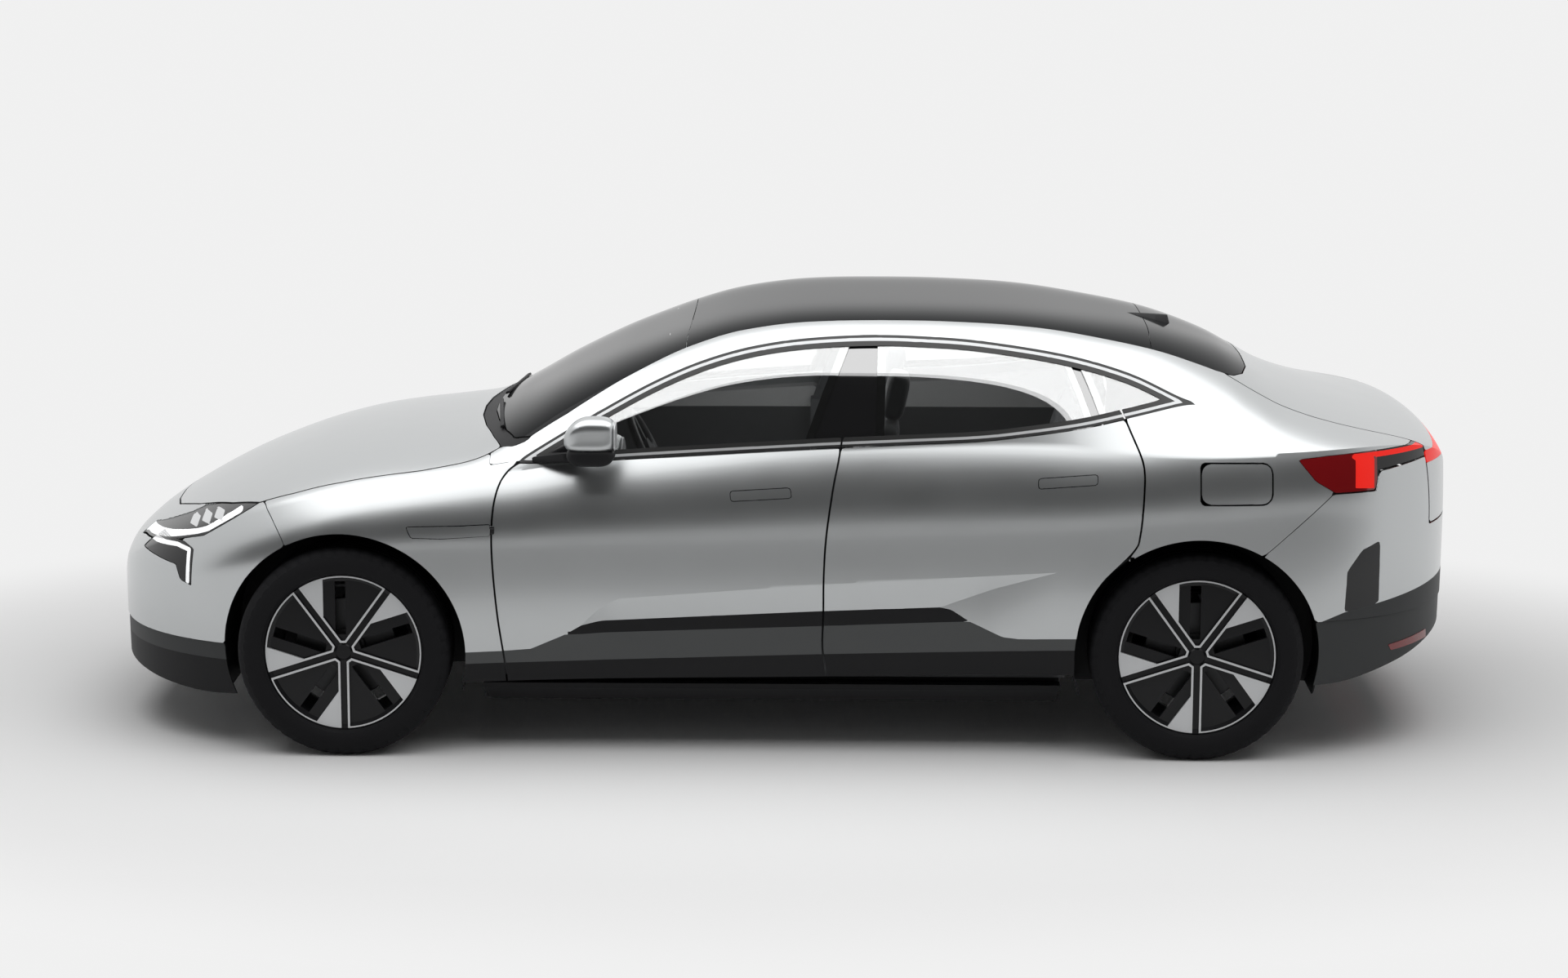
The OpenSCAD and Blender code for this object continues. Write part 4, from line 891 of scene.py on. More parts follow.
def joined(meshes: Iterable[Mesh]) -> Mesh:
    """Puts several meshes into one.

    Args:
        meshes: The meshes, which are used up.

    Returns:
        The whole.
    """
    whole = bmesh.new()
    for mesh in meshes:
        data = bpy.data.meshes.new("joining")
        mesh.to_mesh(data)
        mesh.free()
        whole.from_mesh(data)
        bpy.data.meshes.remove(data)
    return whole


def both_sides(mesh: Mesh) -> Mesh:
    """A left-hand piece with its right-hand twin, in one mesh.

    Args:
        mesh: The left-hand piece, which is used up.

    Returns:
        Both pieces.
    """
    twin = mesh.copy()
    reflect(twin)
    return joined((mesh, twin))


def painted(mesh: Mesh, number: int) -> Mesh:
    """Gives a whole mesh the extra finish of a number and returns it.

    Args:
        mesh: The mesh.
        number: Which extra finish, from 1.

    Returns:
        The same mesh.
    """
    for face in mesh.faces:
        face.material_index = number
    return mesh


def new_object(name: str, mesh: Mesh) -> bpy.types.Object:
    """Makes an object of a mesh, which is used up, and links it to the scene.

    Args:
        name: Its name.
        mesh: Its mesh.

    Returns:
        The object.
    """
    data = bpy.data.meshes.new(name)
    mesh.to_mesh(data)
    mesh.free()
    thing = bpy.data.objects.new(name, data)
    bpy.context.scene.collection.objects.link(thing)
    return thing


@dataclass
class Piece:
    """A finished object: its mesh, finish, body and the CAD nodes that it stands for."""
    name: str
    mesh: Mesh
    finish: Finish
    body: str = "vehicle_body"
    replaces: tuple[str, ...] = ()
    sharp: float = 35.0
    extra: tuple[Finish, ...] = ()

    def place(self) -> bpy.types.Object:
        """Makes the object, gives it its finish and fixes it to its body.

        Returns:
            The object.
        """
        thing = new_object(self.name, self.mesh)
        data = thing.data
        for finish in (self.finish, *self.extra):
            data.materials.append(finish.material())
        data.polygons.foreach_set("use_smooth", [True] * len(data.polygons))
        data.set_sharp_from_angle(angle=math.radians(self.sharp))
        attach(thing, self.body)
        if self.replaces:
            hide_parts(*self.replaces)
        log.info("%s: %d faces on %s", self.name, len(data.polygons), self.body)
        return thing


def thicken(mesh: Mesh, thickness: float) -> None:
    """Gives a sheet its thickness towards the inside of the car, in millimetres.

    Args:
        mesh: The sheet.
        thickness: Its thickness.
    """
    mesh.normal_update()
    outer = list(mesh.faces)
    rim = [e for e in mesh.edges if e.is_boundary]
    normals = {v: v.normal.copy() for v in mesh.verts}
    inner = bmesh.ops.duplicate(mesh, geom=[*mesh.verts, *mesh.edges, *outer])
    twin = inner["vert_map"]
    for vert in list(normals):
        twin[vert].co = vert.co - normals[vert] * thickness * MM
    copied = [f for f in inner["geom"] if isinstance(f, Face)]
    bmesh.ops.reverse_faces(mesh, faces=copied)
    for edge in rim:
        a, b = edge.verts if edge.link_loops[0].vert == edge.verts[0] else reversed(edge.verts)
        mesh.faces.new((b, a, twin[a], twin[b])).material_index = edge.link_faces[0].material_index
    mesh.normal_update()


def panel(sheet: Mesh, *keeps: Level, depth: float = 0.0, wall: float = SKIN,
          zones: Sequence[Level] = ()) -> Mesh:
    """Cuts a panel out of a sheet and gives it its zones and its wall.

    Args:
        sheet: The sheet of the body's surface.
        keeps: Where the panel is; cut one after the other.
        depth: How far the panel lies below the surface, in millimetres.
        wall: Its thickness.
        zones: Zones of other finishes.

    Returns:
        The closed panel.
    """
    if depth:
        sink(sheet, depth)
    for keep in keeps:
        trim(sheet, keep)
    thicken(zoned(sheet, *zones), wall)
    return sheet


def rounded_block(centre: Sequence[float], half: Sequence[float], power: float = 4.0,
                  cuts: int = 12) -> Mesh:
    """A block with soft edges, in millimetres.

    Args:
        centre: Its middle.
        half: Half its size along each axis.
        power: How square it is, 2 for an egg.
        cuts: Cuts across each side.

    Returns:
        The closed block.
    """
    mesh = bmesh.new()
    bmesh.ops.create_cube(mesh, size=2)
    bmesh.ops.subdivide_edges(mesh, edges=mesh.edges[:], cuts=cuts, use_grid_fill=True)
    for vert in mesh.verts:
        reach = sum(abs(c)**power for c in vert.co)**(1 / power)
        vert.co = Vector([m + h * c / reach for m, h, c in zip(centre, half, vert.co)]) * MM
    bmesh.ops.recalc_face_normals(mesh, faces=mesh.faces)
    return mesh


def prism(first: Sequence[Sequence[float]], last: Sequence[Sequence[float]], edge: float = 0.0) -> Mesh:
    """A solid between two loops of points, its edges bevelled, in millimetres.

    Args:
        first: The first loop.
        last: The last loop, with as many points.
        edge: Width of the bevel.

    Returns:
        The closed solid.
    """
    mesh = bmesh.new()
    loops = [[mesh.verts.new(Vector(p) * MM) for p in loop] for loop in (first, last)]
    edges = [mesh.edges.new((a, b)) for loop in loops for a, b in zip(loop, [*loop[1:], loop[0]])]
    bmesh.ops.bridge_loops(mesh, edges=edges)
    bmesh.ops.holes_fill(mesh, edges=mesh.edges[:], sides=0)
    bmesh.ops.recalc_face_normals(mesh, faces=mesh.faces)
    if edge:
        bmesh.ops.bevel(mesh, geom=mesh.edges[:], offset=edge * MM, offset_type="OFFSET", segments=2,
                        profile=0.5, affect="EDGES", material=-1)
    return mesh


@dataclass
class Shell:
    """The fixed panels: sides, wings, bumpers, screen, roof and the black panel behind it."""
    upper_lamp_y: float = 300.0
    lower_lamp_y: float = 520.0
    valance_depth: float = 4.0
    valance_edge: float = 62.0
    blade_corner: float = 6.0
    blade_lift: float = 0.6
    blade_rise: float = 9.0
    blade_wall: float = 10.0
    camera_z: float = 820.0
    top_inset: float = 1.5

    def sides(self) -> Mesh:
        """The body sides with roof rails, pillars and haunches; only the left one has the flap's opening.

        Returns:
            Both sides.
        """
        region = Outline([(-930, 1044), (-1010, 1030), (-1010, 1700), (2440, 1700), (2440, 500), (1100, 500),
                          (1100, 1100), (-800, 1044)])
        doors = Lines.between(Lines.front_door, Lines.rear_door)
        tops = (Lines.mirrored(edge) for edge in (Lines.screen, Lines.roof, Lines.rear_panel, Lines.cowl))
        others = (Outline(Lines.tail_lamp), Lines.rear_bumper_zone(), *tops)
        keep = [inside(region), beyond(RAIL_Y), outside(Lines.windows(), 0.5), arch(Axle.REAR),
                any_of(outside(Lines.under_windows(), GAP), outside(doors, GAP)),
                outside(Lines.mirrored(Lines.bonnet), GAP), Lines.tailgate_leave(GAP),
                *(outside(zone, JOINT) for zone in others)]
        left, right = (panel(BODY.sheet(-1010, 2420, SILL, CROWN), all_of(*keep, *more))
                       for more in ((outside(Lines.flap_zone(), GAP),), ()))
        reflect(right)
        return joined((left, right))

    def wings(self) -> Mesh:
        """The front wings.

        Returns:
            Both wings.
        """
        region = Outline([(-2000, 1200), (-2000, 600), (-1525, 200), *reversed(rounded(Lines.front_door)),
                          (-930, 1050), (-930, 1200)])
        corner = Outline([(-930, 1044), (-1010, 1030), (-1010, 1700), (-900, 1700)])
        others = (Lines.front_bumper_zone(), Outline(Lines.upper_lamp), corner, Lines.mirrored(Lines.cowl),
                  Lines.mirrored(Lines.screen))
        keep = all_of(inside(region), arch(Axle.FRONT), inside(Lines.ahead(Lines.front_door), GAP),
                      outside(Lines.mirrored(Lines.bonnet), GAP), *(outside(zone, JOINT) for zone in others))
        return both_sides(panel(BODY.sheet(-2010, -900, SILL, 1.6), keep, zones=Lines.low_zones()))

    def blades(self) -> Mesh:
        """The blades behind the front wheels, which rise to a dark end with its camera.

        Returns:
            Both blades.
        """
        (front, _), (rear, _) = Lines.blade[0], Lines.blade[2]
        outline = Outline(softened(Lines.blade, self.blade_corner))
        blade, groove = (BODY.sheet(front - lead, rear + 10, 0.6, WAIST, pitch=7) for lead in (10, 20))
        trim(blade, inside(outline))
        for vert in blade.verts:
            rise = (vert.co.x / MM - front) / (rear - front)
            vert.co.y -= (self.blade_lift + self.blade_rise * max(rise, 0)**1.5) * MM
        thicken(blade, self.blade_wall)
        x, z = rear + 6, self.camera_z
        end = rounded_block((x, -BODY.y_at(x, z), z), (9, 9, 15), 6, 4)
        panel(groove, inside(outline, -2.6), outside(outline, -0.4), depth=-0.4, wall=2)
        return both_sides(joined((blade, painted(end, 1), painted(groove, 1))))

    def antenna(self) -> Mesh:
        """The wedge over the rear end of the roof.

        Returns:
            The closed piece.
        """
        base, top = (
            [(front, 0), *half, (rear, 0), *((x, -y) for x, y in reversed(half))] for front, half, rear in (
                (1262, ((1310, 26), (1380, 40), (1432, 34)), 1436),
                (1300, ((1330, 8), (1380, 14), (1424, 12)), 1428)))
        crest = BODY.z_at(1300, 0) + 3
        return prism([(x, y, BODY.z_at(x, y) - 3) for x, y in base],
                     [(x, y, max(crest - 0.06 * (x - 1300), BODY.z_at(x, y) + 1)) for x, y in top], 2.0)

    def wipers(self) -> Mesh:
        """The two wiper blades at the foot of the screen.

        Returns:
            Both blades.
        """
        bars = []
        for (x0, y0), (x1, y1) in (((-986, -600), (-1040, -40)), ((-1030, 90), (-990, 590))):
            ends = [(x0, y0, BODY.z_at(x0, y0)), (x1, y1, BODY.z_at(x1, y1))]
            loops = [[(x + a, y, z + b) for a, b in ((-8, 1), (8, 7), (5, 15), (-7, 11))] for x, y, z in ends]
            bars.append(prism(*loops, 1.5))
        return joined(bars)

    def front_bumper(self) -> Mesh:
        """The painted nose below the bonnet.

        Returns:
            The closed piece.
        """
        keep = all_of(
            inside(Lines.front_bumper_zone(), JOINT), arch(Axle.FRONT), above(Lines.front_valance),
            outside(Lines.mirrored(Lines.bonnet), GAP),
            *(any_of(outside(Outline(lamp), JOINT), opposite(beyond(inner))) for lamp, inner in (
                (Lines.upper_lamp, self.upper_lamp_y), (Lines.lower_lamp, self.lower_lamp_y))))
        return panel(BODY.sheet(*NOSE, SILL, CROWN, across=True), keep)

    def rear_bumper(self) -> Mesh:
        """The painted tail below lamps and tailgate.

        Returns:
            The closed piece.
        """
        keep = all_of(
            inside(Lines.rear_bumper_zone(), JOINT), arch(Axle.REAR), above(Lines.rear_valance),
            outside(Outline(Lines.tail_lamp), JOINT), Lines.tailgate_leave(GAP))
        zones = (inside(Outline(Lines.bumper_slot)), inside(Outline(Lines.tail_low)))
        return panel(BODY.sheet(*TAIL, SILL, CROWN, across=True), keep, zones=zones)

    def valance(self, axle: Axle) -> Mesh:
        """The dark lower edge of nose or tail.

        Args:
            axle: The axle at its end of the car.

        Returns:
            The closed piece.
        """
        span, zone, top = ((NOSE, Lines.front_bumper_zone(), Lines.front_valance) if axle is Axle.FRONT else
                           (TAIL, Lines.rear_bumper_zone(), Lines.rear_valance))
        keep = all_of(inside(zone), arch(axle), below(top - 2))
        return panel(BODY.sheet(*span, SILL, CROWN, across=True), keep, depth=self.valance_depth)

    def build(self) -> None:
        """Places every fixed panel."""
        nose_valance = zoned(self.valance(Axle.FRONT), below(Lines.front_valance - self.valance_edge))
        for name, mesh, finish, nodes, extra in (
                ("sides", self.sides(), PAINT, ("body_sides",), ()),
                ("wings", self.wings(), PAINT, ("front_fenders",), LOW_FINISHES),
                ("wing_blades", self.blades(), PAINT, (), (GLOSS_BLACK,)),
                ("antenna", self.antenna(), BLACK_TRIM, (), ()),
                ("wipers", self.wipers(), BLACK_TRIM, (), ()),
                ("nose", self.front_bumper(), PAINT, ("front_bumper",), ()),
                ("nose_valance", nose_valance, DARK_TRIM, ("front_valance",), (BLACK_TRIM,)),
                ("tail", self.rear_bumper(), PAINT, ("rear_bumper",), (GLOSS_BLACK, DARK_TRIM)),
                ("tail_valance", self.valance(Axle.REAR), DARK_TRIM, ("rear_valance",), ())):
            Piece(name, mesh, finish, replaces=nodes, extra=extra).place()
        for name, finish, node, edge, span, low, depth, floor in (
                ("cowl_panel", BLACK_TRIM, "cowl", Lines.cowl, (-1110, -860), WAIST, 4, 900),
                ("screen", SCREEN, "windscreen", Lines.screen, (-1060, -315), WAIST, 1, 1040),
                ("roof_pane", ROOF, "roof_glass", Lines.roof, (-335, 1340), 1.2, 1, 1240),
                ("roof_end", ROOF, "rear_roof_panel", Lines.rear_panel, (1315, 1700), 1.2, 1, 1200)):
            keep = all_of(inside(Lines.mirrored(edge), self.top_inset), above(floor))
            mesh = panel(BODY.sheet(*span, low, CROWN, across=True), keep, depth=depth)
            Piece(name, mesh, finish, replaces=(node,)).place()


@dataclass
class Lids:
    """Bonnet, tailgate with its light bar, and the charging flap."""
    bonnet_foot: float = 700.0
    bar_ends: tuple[float, float] = (2200.0, 2500.0)
    bar_joint: float = 0.3
    flap_corner: float = 34.0
    flap_inset: float = GAP - 1.2

    def bonnet(self) -> Mesh:
        """The bonnet's skin."""
        keep = all_of(inside(Lines.mirrored(Lines.bonnet), GAP), above(self.bonnet_foot))
        return panel(BODY.sheet(-2310, -960, WAIST, CROWN, across=True), keep)

    def tailgate(self, bar: bool) -> Mesh:
        """The tailgate's skin, or the light bar that lies in it.

        Args:
            bar: Whether the light bar is wanted.

        Returns:
            The closed piece.
        """
        (low, high), (start, end) = Lines.light_bar, self.bar_ends
        rear = Outline([(start, low), (end, low), (end, high), (start, high)])
        place = (inside if bar else outside)(rear, self.bar_joint)
        return panel(BODY.sheet(1580, 2424, 0.3, CROWN, across=True), all_of(Lines.tailgate_keep(GAP), place))

    def flap(self) -> Mesh:
        """The charging flap's skin."""
        keep = inside(Lines.flap_zone(self.flap_corner), self.flap_inset)
        return panel(BODY.sheet(1450, 1740, 0.5, 1.3, pitch=9), keep, wall=SKIN / 2)

    def build(self) -> None:
        """Places the lids."""
        for name, mesh, finish, body, node in (
                ("bonnet_skin", self.bonnet(), PAINT, "hood_body", "hood"),
                ("tailgate_skin", self.tailgate(False), PAINT, "tailgate_body", "tailgate"),
                ("light_bar", self.tailgate(True), RED_GLOW, "tailgate_body", "tail_light_bar"),
                ("flap_skin", self.flap(), PAINT, "charge_flap_body", "charge_flap")):
            Piece(name, mesh, finish, body, (node,)).place()


@dataclass(frozen=True)
class LowerFacet:
    """The facet low on the doors: the skin falls in from its crest to its foot and flares out again below."""
    crest: Points = ((-686, 477), (-632, 532), (-556, 576), (139, 629), (570, 655), (978, 682))
    foot: Points = ((-686, 477), (-622, 491), (140, 529), (572, 547), (766, 619), (978, 682))
    deepest: float = 17.0
    fade: float = 175.0

    @staticmethod
    def height(line: Points, at: np.ndarray) -> np.ndarray:
        """Height of a line in millimetres at each point."""
        return np.interp(at[:, 0] / MM, *np.array(line, float).T)

    def depth(self, at: np.ndarray) -> np.ndarray:
        """How far the skin falls in at each point, in metres.

        Args:
            at: Points in metres, one a row.

        Returns:
            One depth for each point.
        """
        z, crest, foot = at[:, 2] / MM, self.height(self.crest, at), self.height(self.foot, at)
        fall = np.clip((crest - z) / np.maximum(crest - foot, 1), 0, 1)
        flare = np.clip(1 - (foot - z) / self.fade, 0, 1)
        return np.where(z >= foot, fall, flare) * np.minimum(self.deepest, 0.3 * (crest - foot)) * MM

    def shape(self, mesh: Mesh) -> None:
        """Presses the facet into a sheet of the left side.

        Args:
            mesh: The sheet.
        """
        for line in (self.crest, self.foot):
            score(mesh, lambda at, line=line: at[:, 2] - self.height(line, at) * MM)
        verts = list(mesh.verts)
        for vert, depth in zip(verts, self.depth(np.array([v.co for v in verts]))):
            vert.co.y += depth


def window_strip(inner: float, outer: float, thickness: float, keep: Level) -> Mesh:
    """A strip of the left side that follows the edge of the window opening.

    Args:
        inner: How far it reaches into the opening, in millimetres.
        outer: How far it reaches over the panel; negative to start inside the opening.
        thickness: Its thickness.
        keep: Which part of it is wanted.

    Returns:
        The strip.
    """
    windows = Lines.windows()
    return panel(BODY.sheet(-915, 1500, 0.8, CROWN, pitch=12), beyond(RAIL_Y), inside(windows, -outer),
                 outside(windows, -inner), keep, depth=1.0, wall=thickness)


@dataclass
class Doors:
    """The four doors with their skins, inner boxes and panes."""
    inner_y: float = 806.0
    inset_front: float = 82.0
    inset_rear: float = 72.0
    inset_low: float = 50.0
    box_arch: float = 485.0
    box_grey: float = 965.0
    handle_corner: float = 12.0
    handle_line: float = 2.8
    pane_edge: float = 12.0
    pane_drop: float = 18.0
    sail_front: float = -885.0
    facet: LowerFacet = LowerFacet()

    @staticmethod
    def edges(axle: Axle) -> tuple[Points, Points]:
        """The lines ahead of a door and behind it."""
        return (Lines.front_door, Lines.middle) if axle is Axle.FRONT else (Lines.middle, Lines.rear_door)

    def keep(self, axle: Axle, inset: float) -> Level:
        """The zone of a door under its window, shrunk by an inset."""
        return all_of(inside(Lines.under_windows(), inset), inside(Lines.between(*self.edges(axle)), inset),
                      arch(Axle.REAR))

    def sheet(self, axle: Axle, pitch: float, depth: float = 0.0) -> Mesh:
        """A sheet of the body over a door, with the low facet pressed in.

        Args:
            axle: Which door.
            pitch: Size of a cell in millimetres.
            depth: How far it lies below the surface.

        Returns:
            The sheet.
        """
        span = (-1000, 235) if axle is Axle.FRONT else (150, 1290)
        sheet = BODY.sheet(*span, SILL, 1.4, pitch=pitch)
        if depth:
            sink(sheet, depth)
        self.facet.shape(sheet)
        return sheet

    def outer(self, axle: Axle) -> Mesh:
        """The door's painted skin."""
        return panel(self.sheet(axle, 12), self.keep(axle, GAP), zones=Lines.low_zones())

    def handle(self, axle: Axle) -> Mesh:
        """The groove round the door's flush handle.

        Args:
            axle: Which door.

        Returns:
            The closed piece.
        """
        outline = Outline(softened(Lines.handles[axle], self.handle_corner))
        spots = [x for x, _ in Lines.handles[axle]]
        sheet = BODY.sheet(min(spots) - 15, max(spots) + 15, 0.6, 1.1, pitch=6)
        return panel(sheet, inside(outline), outside(outline, -self.handle_line), depth=-0.5, wall=2)

    def sail(self) -> Mesh:
        """The black triangle that carries the mirror in the window's front corner.

        Returns:
            The closed piece.
        """
        keep = all_of(inside(Lines.windows(), self.pane_edge), inside(Outline(Lines.sail)),
                      aft(self.sail_front))
        return panel(BODY.sheet(-915, -570, 0.8, 1.8, pitch=12), keep, depth=2)

    def belt(self, axle: Axle, inner: float, outer: float) -> Mesh:
        """A strip along the foot of the door's window."""
        keep = all_of(Lines.belt(), inside(Lines.between(*self.edges(axle)), GAP))
        return window_strip(inner, outer, 2.0, keep)

    def box(self, axle: Axle) -> Mesh:
        """The door's inner box, flat towards the cabin.

        Args:
            axle: Which door.

        Returns:
            The closed box, its upper part in the extra finish.
        """
        ahead, behind = self.edges(axle)
        front = [(x + self.inset_front, z) for x, z in ahead]
        rear = [(x - self.inset_rear, z) for x, z in behind]
        sheet = self.sheet(axle, 24, depth=3)
        trim(sheet, all_of(self.keep(axle, self.inset_low), inside(Lines.between(front, rear)),
                           arch(Axle.REAR, self.box_arch)))
        grown = bmesh.ops.extrude_face_region(sheet, geom=sheet.faces[:], use_keep_orig=True)
        for vert in grown["geom"]:
            if isinstance(vert, Vert):
                vert.co.y = -self.inner_y * MM
        bmesh.ops.recalc_face_normals(sheet, faces=sheet.faces)
        return zoned(sheet, above(self.box_grey))

    def pane(self, axle: Axle) -> Mesh:
        """The door's window pane.

        Args:
            axle: Which door.

        Returns:
            The pane.
        """
        span, zone = (((-850, 270), Lines.ahead(Lines.front_pane_rear)) if axle is Axle.FRONT else
                      ((335, 1125), Lines.between(Lines.rear_pane_front, Lines.rear_pane_rear)))
        windows = Lines.windows()
        low = Outline([(x, z - self.pane_drop) for x, z in windows.points])
        keep = all_of(any_of(inside(windows, self.pane_edge), inside(low, self.pane_edge)), inside(zone),
                      outside(Lines.under_windows(), -3), outside(Outline(Lines.sail), 1))
        return panel(BODY.sheet(*span, 0.8, CROWN, pitch=18), keep, depth=3, wall=PANE)

    def place(self, axle: Axle, side: Side) -> None:
        """Places one door with all that it carries.

        Args:
            axle: Which door.
            side: Which side.
        """
        node = f"{axle.word}_door_{side.word}"
        pieces = [
            ("door_skin", self.outer(axle), PAINT, (node,), LOW_FINISHES),
            ("door_trim", self.box(axle), CABIN, (), (CABIN_GREY,)),
            ("door_handle", self.handle(axle), SEAL, (), ()),
            ("belt_seal", joined((self.belt(axle, 8, 0), self.belt(axle, 32, -17))), SEAL, (), ()),
            ("belt_strip", self.belt(axle, 17, -8), BRIGHT, (), ()),
            ("pane", self.pane(axle), GLASS, (f"{axle.word}_glass_{side.word}",), ())]
        if axle is Axle.FRONT:
            pieces.append(("mirror_sail", self.sail(), GLOSS_BLACK, (), ()))
        for name, mesh, finish, nodes, extra in pieces:
            Piece(f"{axle.word}_{name}_{side.word}", handed(mesh, side), finish, f"{node}_body", nodes,
                  sharp=10, extra=extra).place()

    def build(self) -> None:
        """Places the four doors."""
        for axle in Axle:
            for side in Side:
                self.place(axle, side)


@dataclass
class Mirrors:
    """The door mirrors: a painted cap over a black housing on its arm, with the glass behind."""
    middle: tuple[float, float] = (-646.0, 1166.0)
    half: tuple[float, float] = (90.0, 60.0)
    inner_y: float = -928.0
    rim: float = 2.0

    def span(self) -> tuple[float, float]:
        """Middle and half width across the car, from the CAD mirror's own reach."""
        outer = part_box("mirror_left")[0][1] / MM + self.rim
        return (outer + self.inner_y) / 2, (self.inner_y - outer) / 2

    def cap(self) -> Mesh:
        """The painted cap, lower and narrower towards the front.

        Returns:
            The closed piece.
        """
        (x, z), (hx, hz), (y, hy) = self.middle, self.half, self.span()
        mesh = rounded_block((x, y, z), (hx, hy, hz), 3.6, 16)
        foot = (z - hz) * MM
        for vert in mesh.verts:
            ahead = max((x * MM - vert.co.x) / (hx * MM), 0)
            vert.co.z = foot + (vert.co.z - foot) * (1 - 0.36 * ahead**2)
            vert.co.y = y * MM + (vert.co.y - y * MM) * (1 - 0.12 * ahead**2)
        return mesh

    def housing(self) -> Mesh:
        """The black lower half with the arm to the door.

        Returns:
            The half and the arm.
        """
        (x, z), (hx, hz), (y, hy) = self.middle, self.half, self.span()
        middle, depth = z - hz - 18, 32
        body = rounded_block((x + 2, y + 3, middle), (hx - 6, hy - 5, depth), 4.0, 12)
        for vert in body.verts:
            drop = max(middle - vert.co.z / MM, 0) / depth
            vert.co.x = x * MM + (vert.co.x - x * MM) * (1 - 0.22 * drop)
        near, far = -BODY.y_at(-790, 1050) + 4, self.inner_y - 22
        arm = prism([(-862, near, 1040), (-720, near, 1042), (-720, near, 1066), (-862, near, 1062)],
                    [(-742, far, 1062), (-610, far, 1056), (-610, far, 1092), (-742, far, 1092)], 5)
        return joined((body, arm))

    def glass(self) -> Mesh:
        """The mirror's glass."""
        (x, z), (hx, hz), (y, hy) = self.middle, self.half, self.span()
        return rounded_block((x + hx - 3.5, y, z - 6), (4.5, hy * 0.82, hz * 0.76), 4.0, 8)

    def build(self) -> None:
        """Places both mirrors on their doors."""
        for side in Side:
            for name, mesh, finish, node in (("mirror_cap", self.cap(), PAINT, (f"mirror_{side.word}",)),
                                             ("mirror_housing", self.housing(), BLACK_TRIM, ()),
                                             ("mirror_glass", self.glass(), BRIGHT, ())):
                Piece(f"{name}_{side.word}", handed(mesh, side), finish, f"front_door_{side.word}_body",
                      node).place()


@dataclass
class Glazing:
    """What surrounds the side windows: quarter panes, black pillar covers, seals and bright strips."""
    cover_depth: float = 9.0
    cover_wall: float = 4.0

    def quarter(self) -> Mesh:
        """The fixed rear corner panes."""
        keep = all_of(inside(Lines.windows(), 0.5), inside(Lines.behind(Lines.quarter_front)))
        return both_sides(panel(BODY.sheet(1020, 1490, 0.8, CROWN, pitch=16), keep, depth=3, wall=PANE))

    def covers(self) -> Mesh:
        """The black covers behind the gaps between the panes.

        Returns:
            The covers of both sides.
        """
        gaps = (Lines.between([(x - lap, z) for x, z in front], [(x + lap, z) for x, z in rear])
                for front, rear, lap in ((Lines.front_pane_rear, Lines.rear_pane_front, 30),
                                         (Lines.rear_pane_rear, Lines.quarter_front, 25)))
        keep = all_of(inside(Lines.windows(), 2), any_of(*(inside(gap) for gap in gaps)))
        return both_sides(panel(BODY.sheet(60, 1160, 0.9, CROWN, pitch=16), keep, depth=self.cover_depth,
                                wall=self.cover_wall))

    def build(self) -> None:
        """Places the glazing."""
        doors = Lines.between(Lines.front_door, Lines.rear_door)
        off_doors = any_of(opposite(Lines.belt()), outside(doors, GAP))
        seals = joined((window_strip(8, 0, 9, off_doors), window_strip(32, -17, 2, off_doors)))
        Piece("quarter_panes", self.quarter(), GLASS, replaces=("quarter_glasses",)).place()
        Piece("pillar_covers", self.covers(), PILLAR).place()
        Piece("window_seals", both_sides(seals), SEAL).place()
        Piece("window_strip", both_sides(window_strip(17, -8, 2, off_doors)), BRIGHT).place()


